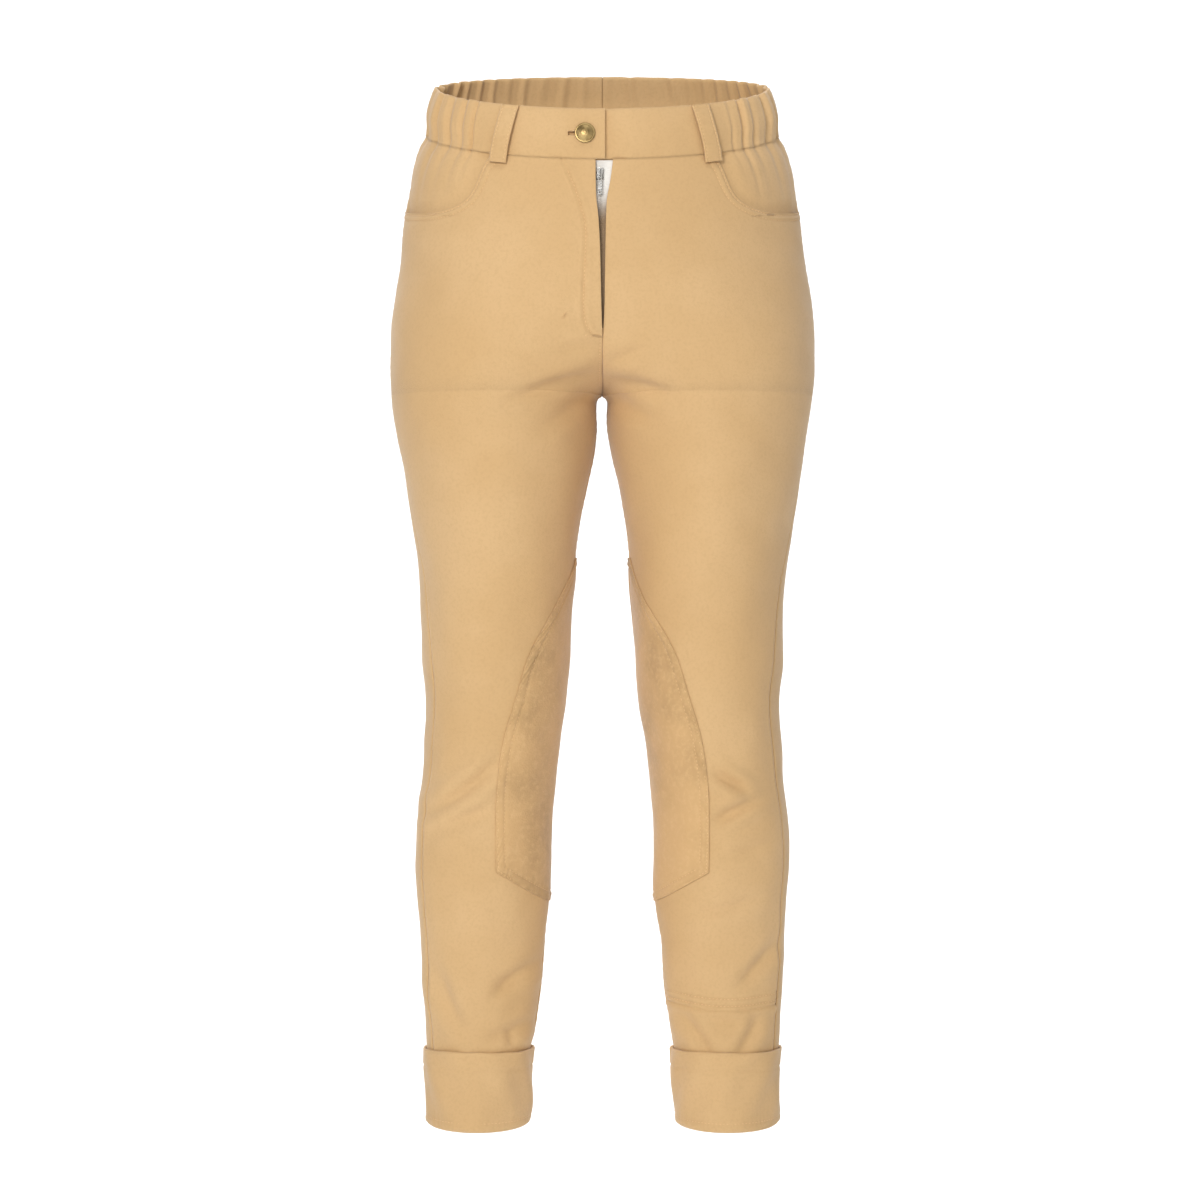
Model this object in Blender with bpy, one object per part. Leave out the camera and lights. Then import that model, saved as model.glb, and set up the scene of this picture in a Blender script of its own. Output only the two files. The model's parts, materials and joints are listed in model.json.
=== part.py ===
"""Jodhpurs: close-fitting riding trousers with turned-up hems, standing open as if worn.

Units are metres, +Z is up, the front faces -Y, and left and right are the wearer's, so left is +X.
The origin is the middle of the waistband ring, where the wearer's waist holds the garment up.

Every cloth piece comes from one surface. It has a level, the height at the side seam, and an angle
round one half of the garment: 0 at the side seam, negative over the front, positive over the back.
"""

import math

import bmesh
import bpy
import numpy as np
from mathutils import Matrix, Vector

# Cloth thicknesses and the gaps between pieces
SEAM_GAP = 0.0003
LAY_GAP = 0.0007
PANEL_CLOTH = 0.0016
PATCH_CLOTH = 0.0012
FACING_CLOTH = 0.0012
TAPE_CLOTH = 0.0010

# Levels, measured down the side seam
BAND_BOTTOM = -0.0204
POCKET_BOTTOM = -0.0850
FLY_BOTTOM = -0.1970
CROTCH = -0.2422
PATCH_TOP = -0.3790
PATCH_CORNER = -0.6430
PATCH_BOTTOM = -0.6700
TURN_UP_TOP = -0.7948
HEM = -0.8576

# The waist dips to the front: height = slope * y - bend * y * y, fading out below the band
WAIST_SLOPE = 0.281
WAIST_BEND = 0.34
DIP_END = -0.150

# How fast the two halves join above the crotch, rounded where that starts, and the small arch below it
FRONT_RISE = 0.034
BACK_RISE = 0.050
THIGH_RISE = 0.075
QUARTER_BLEND = 0.5
RISE_ROUND = 0.006
ARCH_DROP = 0.007

# One row for each section: half width to the side seam, half the gap between the legs, and how far
# the front and the back stand from the side seam
SECTION_COLUMNS = ("level", "outer", "inner", "front", "back")
SECTIONS = (
    (0.0204, 0.1410, 0.0000, 0.0920, 0.0830),
    (0.0000, 0.1470, 0.0000, 0.0960, 0.0870),
    (-0.0204, 0.1485, 0.0000, 0.0980, 0.0890),
    (-0.0306, 0.1545, 0.0000, 0.1010, 0.0940),
    (-0.0442, 0.1592, 0.0000, 0.1035, 0.0985),
    (-0.0714, 0.1640, 0.0000, 0.1070, 0.1060),
    (-0.0986, 0.1687, 0.0000, 0.1095, 0.1125),
    (-0.1258, 0.1717, 0.0000, 0.1110, 0.1180),
    (-0.1530, 0.1758, 0.0000, 0.1120, 0.1225),
    (-0.1802, 0.1795, 0.0000, 0.1110, 0.1250),
    (-0.2074, 0.1803, 0.0000, 0.1080, 0.1240),
    (-0.2422, 0.1787, 0.0036, 0.1020, 0.1170),
    (-0.2720, 0.1747, 0.0047, 0.0970, 0.1080),
    (-0.2975, 0.1700, 0.0089, 0.0940, 0.1010),
    (-0.3298, 0.1649, 0.0157, 0.0900, 0.0930),
    (-0.3638, 0.1594, 0.0213, 0.0850, 0.0850),
    (-0.3978, 0.1547, 0.0234, 0.0795, 0.0780),
    (-0.4318, 0.1534, 0.0267, 0.0740, 0.0700),
    (-0.4658, 0.1530, 0.0285, 0.0690, 0.0610),
    (-0.4998, 0.1498, 0.0312, 0.0645, 0.0545),
    (-0.5338, 0.1515, 0.0372, 0.0610, 0.0525),
    (-0.5678, 0.1534, 0.0408, 0.0570, 0.0560),
    (-0.6018, 0.1577, 0.0440, 0.0535, 0.0610),
    (-0.6358, 0.1590, 0.0442, 0.0510, 0.0645),
    (-0.6698, 0.1568, 0.0452, 0.0490, 0.0635),
    (-0.7038, 0.1547, 0.0495, 0.0470, 0.0590),
    (-0.7378, 0.1530, 0.0516, 0.0455, 0.0530),
    (-0.7718, 0.1505, 0.0562, 0.0450, 0.0475),
    (-0.7948, 0.1490, 0.0605, 0.0450, 0.0455),
    (-0.8260, 0.1468, 0.0627, 0.0450, 0.0450),
    (-0.8576, 0.1468, 0.0640, 0.0450, 0.0450),
)

# One row for each turn of the line that the panels' columns follow, as a share of the half turn from
# the side seam. Between PATCH_TOP and PATCH_CORNER it is the edge of the knee patch.
GUIDE_COLUMNS = ("level", "share")
GUIDE = (
    (0.0204, 0.300),
    (-0.1000, 0.320),
    (-0.1600, 0.400),
    (-0.2000, 0.490),
    (-0.2422, 0.570),
    (-0.3300, 0.640),
    (-0.3790, 0.948),
    (-0.4140, 0.808),
    (-0.4350, 0.730),
    (-0.4575, 0.661),
    (-0.4860, 0.611),
    (-0.5160, 0.574),
    (-0.5430, 0.558),
    (-0.5645, 0.550),
    (-0.6040, 0.566),
    (-0.6430, 0.570),
    (-0.8576, 0.570),
)

# One row for each bend of the fly's two edges: how far each stands from the centre line
FLY_COLUMNS = ("level", "right", "left")
FLY = (
    (-0.0204, 0.0056, 0.0085),
    (-0.0400, 0.0054, 0.0060),
    (-0.0560, 0.0050, 0.0036),
    (-0.0750, 0.0036, 0.0028),
    (-0.1100, 0.0022, 0.0022),
    (-0.1500, 0.0014, 0.0016),
    (-0.1850, 0.0006, 0.0008),
    (-0.1970, 0.0000, 0.0000),
)

# One row for each large soft fold: side and face that it is on, its middle, half its length, its
# slope in degrees down towards the side seam, its width, and its height, negative for a trough
FOLD_COLUMNS = ("side", "face", "x", "level", "reach", "slope", "width", "height")
FOLDS = (
    (-1, -1, 0.060, -0.262, 0.050, 14, 0.014, -0.0022),
    (1, -1, 0.056, -0.258, 0.046, 16, 0.014, -0.0022),
    (-1, -1, 0.106, -0.575, 0.036, 28, 0.014, 0.0026),
    (-1, -1, 0.112, -0.604, 0.034, 30, 0.015, -0.0022),
    (1, -1, 0.112, -0.580, 0.032, 34, 0.015, 0.0022),
    (-1, -1, 0.078, -0.738, 0.030, -36, 0.014, -0.0024),
    (1, -1, 0.128, -0.726, 0.030, -44, 0.014, -0.0024),
    (-1, 1, 0.090, -0.500, 0.050, 10, 0.016, -0.0034),
    (1, 1, 0.090, -0.506, 0.050, 14, 0.016, -0.0034),
    (-1, 1, 0.092, -0.540, 0.044, -12, 0.016, 0.0026),
    (1, 1, 0.092, -0.546, 0.044, -8, 0.016, 0.0026),
    (-1, 1, 0.070, -0.272, 0.052, 20, 0.018, -0.0030),
    (1, 1, 0.070, -0.268, 0.052, 22, 0.018, -0.0030),
    (-1, 1, 0.104, -0.752, 0.034, 18, 0.014, -0.0022),
    (1, 1, 0.104, -0.746, 0.034, -16, 0.014, -0.0022),
)

# Fly: the right front stands proud of the left one, across this width. The zip tape lies behind it
FLY_PROUD = 0.0015
FLY_SUNK = 0.0008
FLY_STEP_WIDTH = 0.012
FLY_START = (-0.0204, -0.030)
FLY_FINISH = (-0.207, -0.177)
TAPE_DEPTH = 0.0033
TAPE_INSET = 0.0050
TAPE_EDGES = (-0.0150, -0.0085, -0.0022, 0.0045, 0.0125)

# Pocket mouth: a rounded curve from the waist seam to the side seam, and the shares of its fall at
# which the panels have rows
MOUTH_ROWS = (0, 0.04, 0.15, 0.31, 0.50, 0.68, 0.83, 0.93, 0.975, 0.992, 0.9985)
MOUTH_WIDTH = 0.056
MOUTH_DROP = POCKET_BOTTOM - BAND_BOTTOM
MOUTH_BEND = 4.0
MOUTH_ROUND = 0.45
MOUTH_LAP = 0.012
MOUTH_PUSH = 0.33
MOUTH_SEAT = 0.001
FACING_DEPTH = 0.0031
FACING_SINK = 0.022
FACING_SHARE = 0.35
FACING_COLUMNS = 5
FACING_END_ROWS = 4

# Waistband: its wall as distances out from the surface and levels, round the section
BAND_WALL_COLUMNS = ("out", "level")
BAND_WALL = (
    (0.0006, -0.0204),
    (0.0009, -0.0070),
    (0.0009, 0.0080),
    (0.0004, 0.0192),
    (-0.0009, 0.0204),
    (-0.0024, 0.0190),
    (-0.0024, 0.0000),
    (-0.0024, -0.0204),
)
UNDERLAP_END = -0.034
OVERLAP_END = 0.0021
UNDERLAP_DEPTH = 0.0037
UNDERLAP_RAMP = (0.005, 0.026)
GATHERS_A_SIDE = 14
GATHER_STEPS = 6
GATHER_HEIGHT = 0.0017
GATHER_START = -0.80
GATHER_ROUND = 0.8
GATHER_FADES = (0.7, 0.5)
PLAIN_STEPS = (9, 6)

# Belt loops: x of the middle at the top and at the bottom, then the strip itself
LOOP_WIDTH = 0.0140
LOOP_CLOTH = 0.0018
LOOP_TOP = 0.0196
LOOP_BOTTOM = -0.0272
LOOP_LEAN = {1: (0.0799, 0.0914), -1: (0.0754, 0.0861)}
LOOP_SEAT = 0.0014
LOOP_STAND = 0.0024
LOOP_ARCH = 0.6
LOOP_ROWS = 9
LOOP_COLUMNS = 4

# Turn-up: its wall as distances out from the leg and heights over the hem, round the section
TURN_UP_WALL_COLUMNS = ("out", "height")
TURN_UP_WALL = (
    (0.0032, TURN_UP_TOP - HEM),
    (0.0034, 0.0320),
    (0.0032, 0.0030),
    (0.0016, 0.0000),
    (-0.0016, 0.0000),
    (-0.0022, 0.0016),
    (0.0001, 0.0016),
    (0.0006, 0.0040),
    (0.0006, 0.0320),
    (0.0008, TURN_UP_TOP - HEM),
)
LEG_END = HEM + 0.0020

# Button: rings of the turned shape, as distances out from the surface and radii
BUTTON_X = -0.0144
BUTTON_SIDES = 18
BUTTON_COLUMNS = ("out", "radius")
BUTTON = (
    (-0.0024, 0.0011),
    (0.0012, 0.0011),
    (0.0012, 0.0074),
    (0.0016, 0.0084),
    (0.0024, 0.0086),
    (0.0029, 0.0081),
    (0.0030, 0.0073),
    (0.0026, 0.0067),
    (0.0031, 0.0052),
    (0.0038, 0.0028),
    (0.0040, 0.0010),
)
BUTTONHOLE_X = (-0.0285, -0.0125)
BUTTONHOLE_HEIGHT = 0.0038

# Zip slider and pull tab, in the slider's own axes: z up along the teeth, -y outwards
SLIDER_X = -0.0022
SLIDER_LEVEL = -0.0320
SLIDER_SIZE = (0.0060, 0.0026, 0.0100)
ARCH_SIZE = (0.0012, 0.0026, 0.0064)
ARCH_HOLE = (0.0017, 0.0048)
PIVOT_BELOW = 0.0014
PULL_SIZE = (0.0036, 0.0009, 0.0180)
PULL_BAR = 0.0009
PULL_WINDOW = (0.0020, 0.0042)
PULL_EYE_RADIUS = 0.0009
PULL_EYE_RISE = 0.0024
SLIDER_BEVEL = 0.0007
ARCH_BEVEL = 0.0003
ARCH_SUNK = 0.0006
PULL_BEVEL = 0.0002
TOOL_LENGTH = 0.004

# Columns across a panel either side of the guide line, and rows from its top to its bottom
OUTER_COLUMNS = 6
INNER_COLUMNS = 5
HIP_ROWS = 5
SEAT_ROWS = 8
NEAR_CROTCH = 0.050
SHARES_OVER_CROTCH = (1, 0.75, 0.5, 0.28, 0.12)
SHARES_UNDER_CROTCH = (0, 0.2, 0.42, 0.7)
THIGH_ROWS = 3
PATCH_ROWS = 11
PATCH_ROW_LIFT = 0.004
SHIN_ROWS = 6
TAPE_ROWS = 14


def column(table, names, name):
    """One named column of a table as an array."""
    return np.array([row[names.index(name)] for row in table], float)


def smooth(start, end, value):
    """0 before start, 1 after end, and an S curve between them."""
    share = np.clip((value - start) / (end - start), 0, 1)
    return share * share * (3 - 2 * share)


def curve_through(levels, values, level):
    """A smooth curve through table rows: cubic pieces that share their slopes at the rows."""
    heights = levels[::-1]
    values = values[::-1]
    slopes = np.gradient(values, heights)
    level = np.clip(level, heights[0], heights[-1])
    index = np.clip(np.searchsorted(heights, level) - 1, 0, len(heights) - 2)
    span = heights[index + 1] - heights[index]
    t = (level - heights[index]) / span
    start_part = (1 + 2 * t) * (1 - t) ** 2 * values[index] + t * (1 - t) ** 2 * span * slopes[index]
    end_part = t * t * (3 - 2 * t) * values[index + 1] - t * t * (1 - t) * span * slopes[index + 1]
    return start_part + end_part


def section(name, level):
    """One measure of the garment's section at a level."""
    levels = column(SECTIONS, SECTION_COLUMNS, "level")
    return curve_through(levels, column(SECTIONS, SECTION_COLUMNS, name), level)


def guide_share(level):
    levels = column(GUIDE, GUIDE_COLUMNS, "level")
    return curve_through(levels, column(GUIDE, GUIDE_COLUMNS, "share"), level)


def fly_edge(side, level):
    """How far a front's edge stands from the centre line at a level."""
    levels = column(FLY, FLY_COLUMNS, "level")
    name = "left" if side > 0 else "right"
    return np.where(level > FLY_BOTTOM, curve_through(levels, column(FLY, FLY_COLUMNS, name), level), 0)


def across(angle, level):
    """Distance from the centre line: middle + half width * cos(angle), on two quarter ellipses.

    Below the crotch both quarters share the leg's middle. Above, the quarter by the side seam keeps
    to the thigh a little longer, and the quarter by the centre runs on past the centre line.
    """
    outer = section("outer", level)
    gap = section("inner", np.minimum(level, CROTCH))
    drop = np.clip((CROTCH - level) / ARCH_DROP, 0, 1)
    rise = np.maximum(level - CROTCH, 0)
    eased = np.hypot(rise, RISE_ROUND) - RISE_ROUND
    thigh = np.exp(-((rise / THIGH_RISE) ** 2))
    joined = np.exp(-eased / np.where(angle < 0, FRONT_RISE, BACK_RISE))
    side_middle = outer * thigh / (1 + thigh) + gap * thigh / 2
    centre_middle = outer * joined / (1 + joined) + gap * joined / 2
    inner = gap * np.sqrt(1 - (1 - drop) ** 2) - outer * (1 - joined) / (1 + joined)
    share = smooth(math.pi / 2 - QUARTER_BLEND, math.pi / 2 + QUARTER_BLEND, np.abs(angle))
    middle = side_middle * (1 - share) + centre_middle * share
    half_width = (outer - side_middle) * (1 - share) + (centre_middle - inner) * share
    return middle + half_width * np.cos(angle)


def surface(side, angle, level):
    """The cloth's outer face: x from across(), y = depth * sin(angle), and a dip towards the front."""
    angle, level = np.broadcast_arrays(angle, level)
    x = SEAM_GAP / 2 + across(angle, level)
    y = np.where(angle < 0, section("front", level), section("back", level)) * np.sin(angle)
    dip = (WAIST_SLOPE * y - WAIST_BEND * y * y) * smooth(DIP_END, BAND_BOTTOM, level)
    return np.stack([side * x, y, level + dip], axis=-1)


def outward(side, angle, level, square=True):
    """Unit normals of the surface, kept level near the waist where the seams there stay square."""
    turn, fall = 0.01, 0.0005
    along = surface(side, angle + turn, level) - surface(side, angle - turn, level)
    down = surface(side, angle, level - fall) - surface(side, angle, level + fall)
    normal = side * np.cross(down, along)
    if square:
        normal[..., 2] *= smooth(-0.060, -0.120, np.broadcast_to(level, normal.shape[:-1]))
    return normal / np.linalg.norm(normal, axis=-1, keepdims=True)


def relief(side, angle, level):
    """Height of the large folds and of the fly's step over the plain surface."""
    angle, level = np.broadcast_arrays(angle, level)
    front = angle < 0
    x = across(angle, level)
    height = np.zeros(angle.shape)
    for row in FOLDS:
        fold = dict(zip(FOLD_COLUMNS, row))
        if fold["side"] != side:
            continue
        slope = math.radians(fold["slope"])
        right, up = x - fold["x"], level - fold["level"]
        along = right * math.cos(slope) - up * math.sin(slope)
        aside = right * math.sin(slope) + up * math.cos(slope)
        shape = np.exp(-((along / fold["reach"]) ** 2) - (aside / fold["width"]) ** 2)
        height += np.where(front == (fold["face"] < 0), fold["height"] * shape, 0)
    step = -FLY_SUNK if side > 0 else FLY_PROUD
    in_fly = smooth(*FLY_START, level) * smooth(*FLY_FINISH, level)
    height += np.where(front, step * in_fly * np.exp(-((x / FLY_STEP_WIDTH) ** 2)), 0)
    return height


def cloth(side, angle, level, out=0.0):
    """Points of the cloth with its folds, moved out from it by a distance."""
    height = relief(side, angle, level) + out
    return surface(side, angle, level) + outward(side, angle, level) * height[..., None]


def angle_at(x, level, front=True):
    """The size of the angle at which the surface stands at x from the centre line, by halving."""
    x, level = np.broadcast_arrays(x, level)
    sign = -1 if front else 1
    low, high = np.full(x.shape, 1e-6), np.full(x.shape, math.pi)
    for _ in range(40):
        middle = (low + high) / 2
        beyond = across(sign * middle, level) + SEAM_GAP / 2 > x
        low, high = np.where(beyond, middle, low), np.where(beyond, high, middle)
    return (low + high) / 2


def mouth_x(level):
    """The pocket mouth's edge: x = side - width * (1 - (fall / drop)^bend)^round."""
    fall = np.clip((level - BAND_BOTTOM) / MOUTH_DROP, 0, 1)
    return section("outer", level) - MOUTH_WIDTH * (1 - fall**MOUTH_BEND) ** MOUTH_ROUND


def panel_angles(side, front, level):
    """Angles of a panel's columns at one level, from its outer edge to its centre edge or inseam."""
    depth = section("front" if front else "back", level)
    trim = SEAM_GAP / 2 / depth
    start = trim
    if front and level > POCKET_BOTTOM:
        start = angle_at(mouth_x(level), level)
    end = math.pi - trim
    if level > CROTCH:
        edge = fly_edge(side, level) if front else 0.0
        end = min(end, float(angle_at(edge + SEAM_GAP / 2, level, front)))
    guide = math.pi * guide_share(level) + MOUTH_PUSH * (start - trim)
    angles = np.append(
        np.linspace(start, guide, OUTER_COLUMNS, endpoint=False),
        np.linspace(guide, end, INNER_COLUMNS + 1),
    )
    return -angles if front else angles


def spread(start, end, count):
    return list(np.linspace(start, end, count, endpoint=False))


def panel_levels(front):
    """Levels of a panel's rows, close together round the pocket's corner and round the crotch."""
    if front:
        rows = mouth_levels() + spread(POCKET_BOTTOM - SEAM_GAP, CROTCH + NEAR_CROTCH, HIP_ROWS)
    else:
        rows = spread(BAND_BOTTOM - SEAM_GAP, CROTCH + NEAR_CROTCH, SEAT_ROWS)
    rows += [CROTCH + NEAR_CROTCH * share**2 for share in SHARES_OVER_CROTCH]
    rows += [CROTCH - NEAR_CROTCH * share**2 for share in SHARES_UNDER_CROTCH]
    rows += spread(CROTCH - NEAR_CROTCH, PATCH_TOP, THIGH_ROWS)
    rows += patch_levels() + spread(PATCH_BOTTOM, LEG_END, SHIN_ROWS) + [LEG_END]
    return rows


def mouth_levels():
    """Rows beside the pocket mouth, closest at the waist seam and at the mouth's lower end."""
    top = BAND_BOTTOM - SEAM_GAP
    return list(top + (POCKET_BOTTOM - top) * np.array(MOUTH_ROWS))


def patch_levels():
    """The panels' rows that the knee patch shares, down to just over its outer corner."""
    return list(np.linspace(PATCH_TOP, PATCH_CORNER + PATCH_ROW_LIFT, PATCH_ROWS))


def solid_from_rings(name, rings, closed=False):
    """A closed mesh through equal rings of points. Its two ends are closed by strips across them.

    Each face is split along its shorter diagonal, so that a piece made from another's points has
    its creases where the other has them, and the two stay apart.
    """
    rings = np.asarray(rings, float)
    count, size = rings.shape[:2]
    mesh = bpy.data.meshes.new(name)
    bm = bmesh.new()
    verts = [[bm.verts.new(point) for point in ring] for ring in rings]
    for i in range(count if closed else count - 1):
        for j in range(size):
            here, there = verts[i], verts[(i + 1) % count]
            bm.faces.new((here[j], here[(j + 1) % size], there[(j + 1) % size], there[j]))
    if not closed:
        for end in (verts[0], verts[-1]):
            for j in range(size // 2 - 1):
                corners = (end[j], end[j + 1], end[size - 2 - j], end[size - 1 - j])
                bm.faces.new(corners)
    bmesh.ops.triangulate(bm, faces=bm.faces, quad_method="SHORT_EDGE")
    bmesh.ops.recalc_face_normals(bm, faces=bm.faces)
    bm.to_mesh(mesh)
    bm.free()
    return place(name, mesh)


def place(name, mesh):
    piece = bpy.data.objects.new(name, mesh)
    bpy.context.scene.collection.objects.link(piece)
    return piece


def material(name, colour, roughness, metallic=0.0):
    shade = bpy.data.materials.new(name)
    shade.use_nodes = True
    shader = shade.node_tree.nodes["Principled BSDF"]
    shader.inputs["Base Color"].default_value = (*colour, 1.0)
    shader.inputs["Roughness"].default_value = roughness
    shader.inputs["Metallic"].default_value = metallic
    return shade


def finish(piece, colour, roughness, metallic=0.0):
    """Gives a piece its own material, smooth shaded where its faces meet at a low angle."""
    piece.data.materials.append(material(piece.name, colour, roughness, metallic))
    piece.data.shade_smooth()
    piece.data.set_sharp_from_angle(angle=math.radians(40))
    return piece


def wall_ring(side, angles, level, outer, inner):
    """A closed ring round a strip of cloth at one level: its outer points, then its inner ones."""
    angles = np.asarray(angles)
    levels = np.broadcast_to(level, angles.shape)
    outside = cloth(side, angles, levels, outer)
    inside = cloth(side, angles[::-1], levels[::-1], inner)
    return np.concatenate([outside, inside])


SIDE_NAMES = {1: "left", -1: "right"}
CLOTH_COLOUR = (0.76, 0.50, 0.24)
SUEDE_COLOUR = (0.62, 0.40, 0.19)
BRASS_COLOUR = (0.30, 0.20, 0.09)
STEEL_COLOUR = (0.75, 0.75, 0.73)
TAPE_COLOUR = (0.85, 0.82, 0.76)


def make_panel(side, front):
    rings = [
        wall_ring(side, panel_angles(side, front, level), level, 0.0, -PANEL_CLOTH)
        for level in panel_levels(front)
    ]
    name = ("front_" if front else "back_") + SIDE_NAMES[side]
    return finish(solid_from_rings(name, rings), CLOTH_COLOUR, 0.85)


def make_pocket_facing(side):
    """The hip piece. It meets the side seam, and sinks to pass under the front at the mouth."""
    bottom = POCKET_BOTTOM - MOUTH_LAP + 2 * MOUTH_SEAT
    falls = BAND_BOTTOM + MOUTH_DROP * (1 - np.linspace(1, 0, 24) ** 2.2)
    mouth_points = np.stack([mouth_x(falls), falls], axis=-1)
    rings = []
    for level in mouth_levels() + list(np.linspace(POCKET_BOTTOM - SEAM_GAP, bottom, FACING_END_ROWS)):
        edge = float(mouth_x(min(level + MOUTH_LAP, BAND_BOTTOM))) - MOUTH_LAP
        start = SEAM_GAP / 2 / section("front", level)
        far = float(angle_at(edge, level))
        mouth = start + (far - start) * FACING_SHARE
        if level > POCKET_BOTTOM:
            mouth = float(angle_at(mouth_x(level) + MOUTH_SEAT, level))
        mouth = max(mouth, start + (far - start) * FACING_SHARE)
        angles = np.append(spread(start, mouth, FACING_COLUMNS), np.linspace(mouth, far, FACING_COLUMNS))
        x = across(-angles, level)
        away = np.hypot(x[:, None] - mouth_points[:, 0], level - mouth_points[:, 1]).min(axis=1)
        seen = (x > mouth_x(level)) & (level > POCKET_BOTTOM)
        depth = FACING_DEPTH * np.where(seen, 1 - smooth(3 * MOUTH_SEAT, FACING_SINK, away), 1)
        levels = np.full(angles.shape, level)
        outside = cloth(side, -angles, levels, -depth)
        inside = cloth(side, -angles, levels, -depth - FACING_CLOTH)
        rings.append(np.concatenate([outside, inside[::-1]]))
    piece = solid_from_rings("pocket_facing_" + SIDE_NAMES[side], rings)
    return finish(piece, CLOTH_COLOUR, 0.85)


def gather_height(angle):
    """Rounded ridges with narrow valleys, from the belt loop round to the centre back."""
    span = math.pi / 2 - GATHER_START
    turn = (angle - GATHER_START) / span * GATHERS_A_SIDE
    ridge = 2 * np.abs(np.sin(np.pi * turn)) ** GATHER_ROUND - 1
    fade = smooth(0, GATHER_FADES[0], turn) * smooth(0, GATHER_FADES[1], GATHERS_A_SIDE - turn)
    return GATHER_HEIGHT * ridge * fade


def make_waistband(side):
    """The folded band: plain in front, with the ridges of the elastic round the side and back."""
    end_x = UNDERLAP_END if side > 0 else -OVERLAP_END
    wall_out = column(BAND_WALL, BAND_WALL_COLUMNS, "out")
    wall_level = column(BAND_WALL, BAND_WALL_COLUMNS, "level")
    front_end = -float(angle_at(end_x, 0.0))
    back_end = float(angle_at(SEAM_GAP / 2, 0.0, False))
    ramp_end = -float(angle_at(UNDERLAP_RAMP[1], 0.0))
    angles = spread(front_end, ramp_end, PLAIN_STEPS[0]) + spread(ramp_end, GATHER_START, PLAIN_STEPS[1])
    angles = np.append(angles, np.linspace(GATHER_START, back_end, GATHERS_A_SIDE * GATHER_STEPS + 1))
    front_stretch = -angle_at(end_x, wall_level) / front_end
    back_stretch = angle_at(SEAM_GAP / 2, wall_level, False) / back_end
    rings = []
    for angle in angles:
        out = wall_out + (gather_height(angle) if angle >= GATHER_START else 0)
        if side > 0 and angle < 0:
            x = section("outer", 0.0) * math.cos(angle)
            out = out - UNDERLAP_DEPTH * (1 - smooth(*UNDERLAP_RAMP, x))
        turned = angle * (front_stretch if angle < 0 else back_stretch)
        rings.append(cloth(side, turned, wall_level, out))
    piece = solid_from_rings("waistband_" + SIDE_NAMES[side], rings)
    return finish(piece, CLOTH_COLOUR, 0.85)


def cut_buttonhole(band):
    """A slit for the button's shank through the overlap alone."""
    width = BUTTONHOLE_X[1] - BUTTONHOLE_X[0]
    mesh = bpy.data.meshes.new("buttonhole_cutter")
    bm = bmesh.new()
    bmesh.ops.create_cube(bm, size=1.0)
    bmesh.ops.scale(bm, vec=(width, 0.030, BUTTONHOLE_HEIGHT), verts=bm.verts)
    bm.to_mesh(mesh)
    bm.free()
    cutter = place("buttonhole_cutter", mesh)
    cutter.hide_render = True
    cutter.display_type = "WIRE"
    middle = -sum(BUTTONHOLE_X) / 2
    cutter.location = cloth(-1, -angle_at(middle, 0.0), 0.0)
    cut = band.modifiers.new("buttonhole", "BOOLEAN")
    cut.operation = "DIFFERENCE"
    cut.solver = "EXACT"
    cut.object = cutter


def make_belt_loop(name, side, front, leans):
    """A strip from the band's top edge to just below its seam, standing off it between its ends."""
    rings = []
    for share in np.linspace(0, 1, LOOP_ROWS):
        level = LOOP_TOP + (LOOP_BOTTOM - LOOP_TOP) * share
        middle = leans[0] + (leans[1] - leans[0]) * share
        x = middle + LOOP_WIDTH * np.linspace(-0.5, 0.5, LOOP_COLUMNS)
        halves = np.where(x < 0, -side, side)
        under = LOOP_SEAT + LOOP_STAND * math.sin(math.pi * share) ** LOOP_ARCH
        points = []
        for out in (under + LOOP_CLOTH, under):
            row = [
                cloth(half, angle_at(abs(far), level, front) * (-1 if front else 1), level, out)
                for half, far in zip(halves, x)
            ]
            points.append(np.array(row))
        rings.append(np.concatenate([points[0], points[1][::-1]]))
    return finish(solid_from_rings(name, rings), CLOTH_COLOUR, 0.85)


def patch_angles(level):
    """The panels' own columns from the patch's front edge, round the inseam, to its back edge."""
    half = panel_angles(1, False, level)[OUTER_COLUMNS:]
    half[-1] = math.pi
    return np.append(half, 2 * math.pi - half[-2::-1])


def round_inseam(side, angles, levels, out):
    """Cloth points for angles that run past the inseam: beyond pi they lie on the other face."""
    back = cloth(side, np.minimum(angles, math.pi), levels, out)
    front = cloth(side, np.minimum(angles - 2 * math.pi, -1e-6), levels, out)
    return np.where((angles > math.pi)[..., None], front, back)


def patch_ring(side, level, bottom=None):
    """Points of the patch over one row of the leg, or over straight lines down to a lower row."""
    angles = patch_angles(level)
    ring = []
    for out in (LAY_GAP + PATCH_CLOTH, LAY_GAP):
        points = round_inseam(side, angles, np.full(angles.shape, level), out)
        if bottom is not None:
            lower_angles = patch_angles(bottom)
            lower = round_inseam(side, lower_angles, np.full(angles.shape, bottom), out)
            slant = 1 - np.abs(angles - math.pi) / (math.pi - angles[0])
            edge = PATCH_CORNER + (PATCH_BOTTOM - PATCH_CORNER) * slant
            share = ((level - edge) / (level - bottom))[:, None]
            points = points * (1 - share) + lower * share
        ring.append(points)
    return np.concatenate([ring[0], ring[1][::-1]])


def make_knee_patch(side):
    """The suede piece round the inside of the knee, its lower edge falling towards the inseam."""
    rings = [patch_ring(side, level) for level in patch_levels()]
    rings.append(patch_ring(side, patch_levels()[-1], PATCH_BOTTOM))
    piece = solid_from_rings("knee_patch_" + SIDE_NAMES[side], rings)
    return finish(piece, SUEDE_COLOUR, 0.95)


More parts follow.
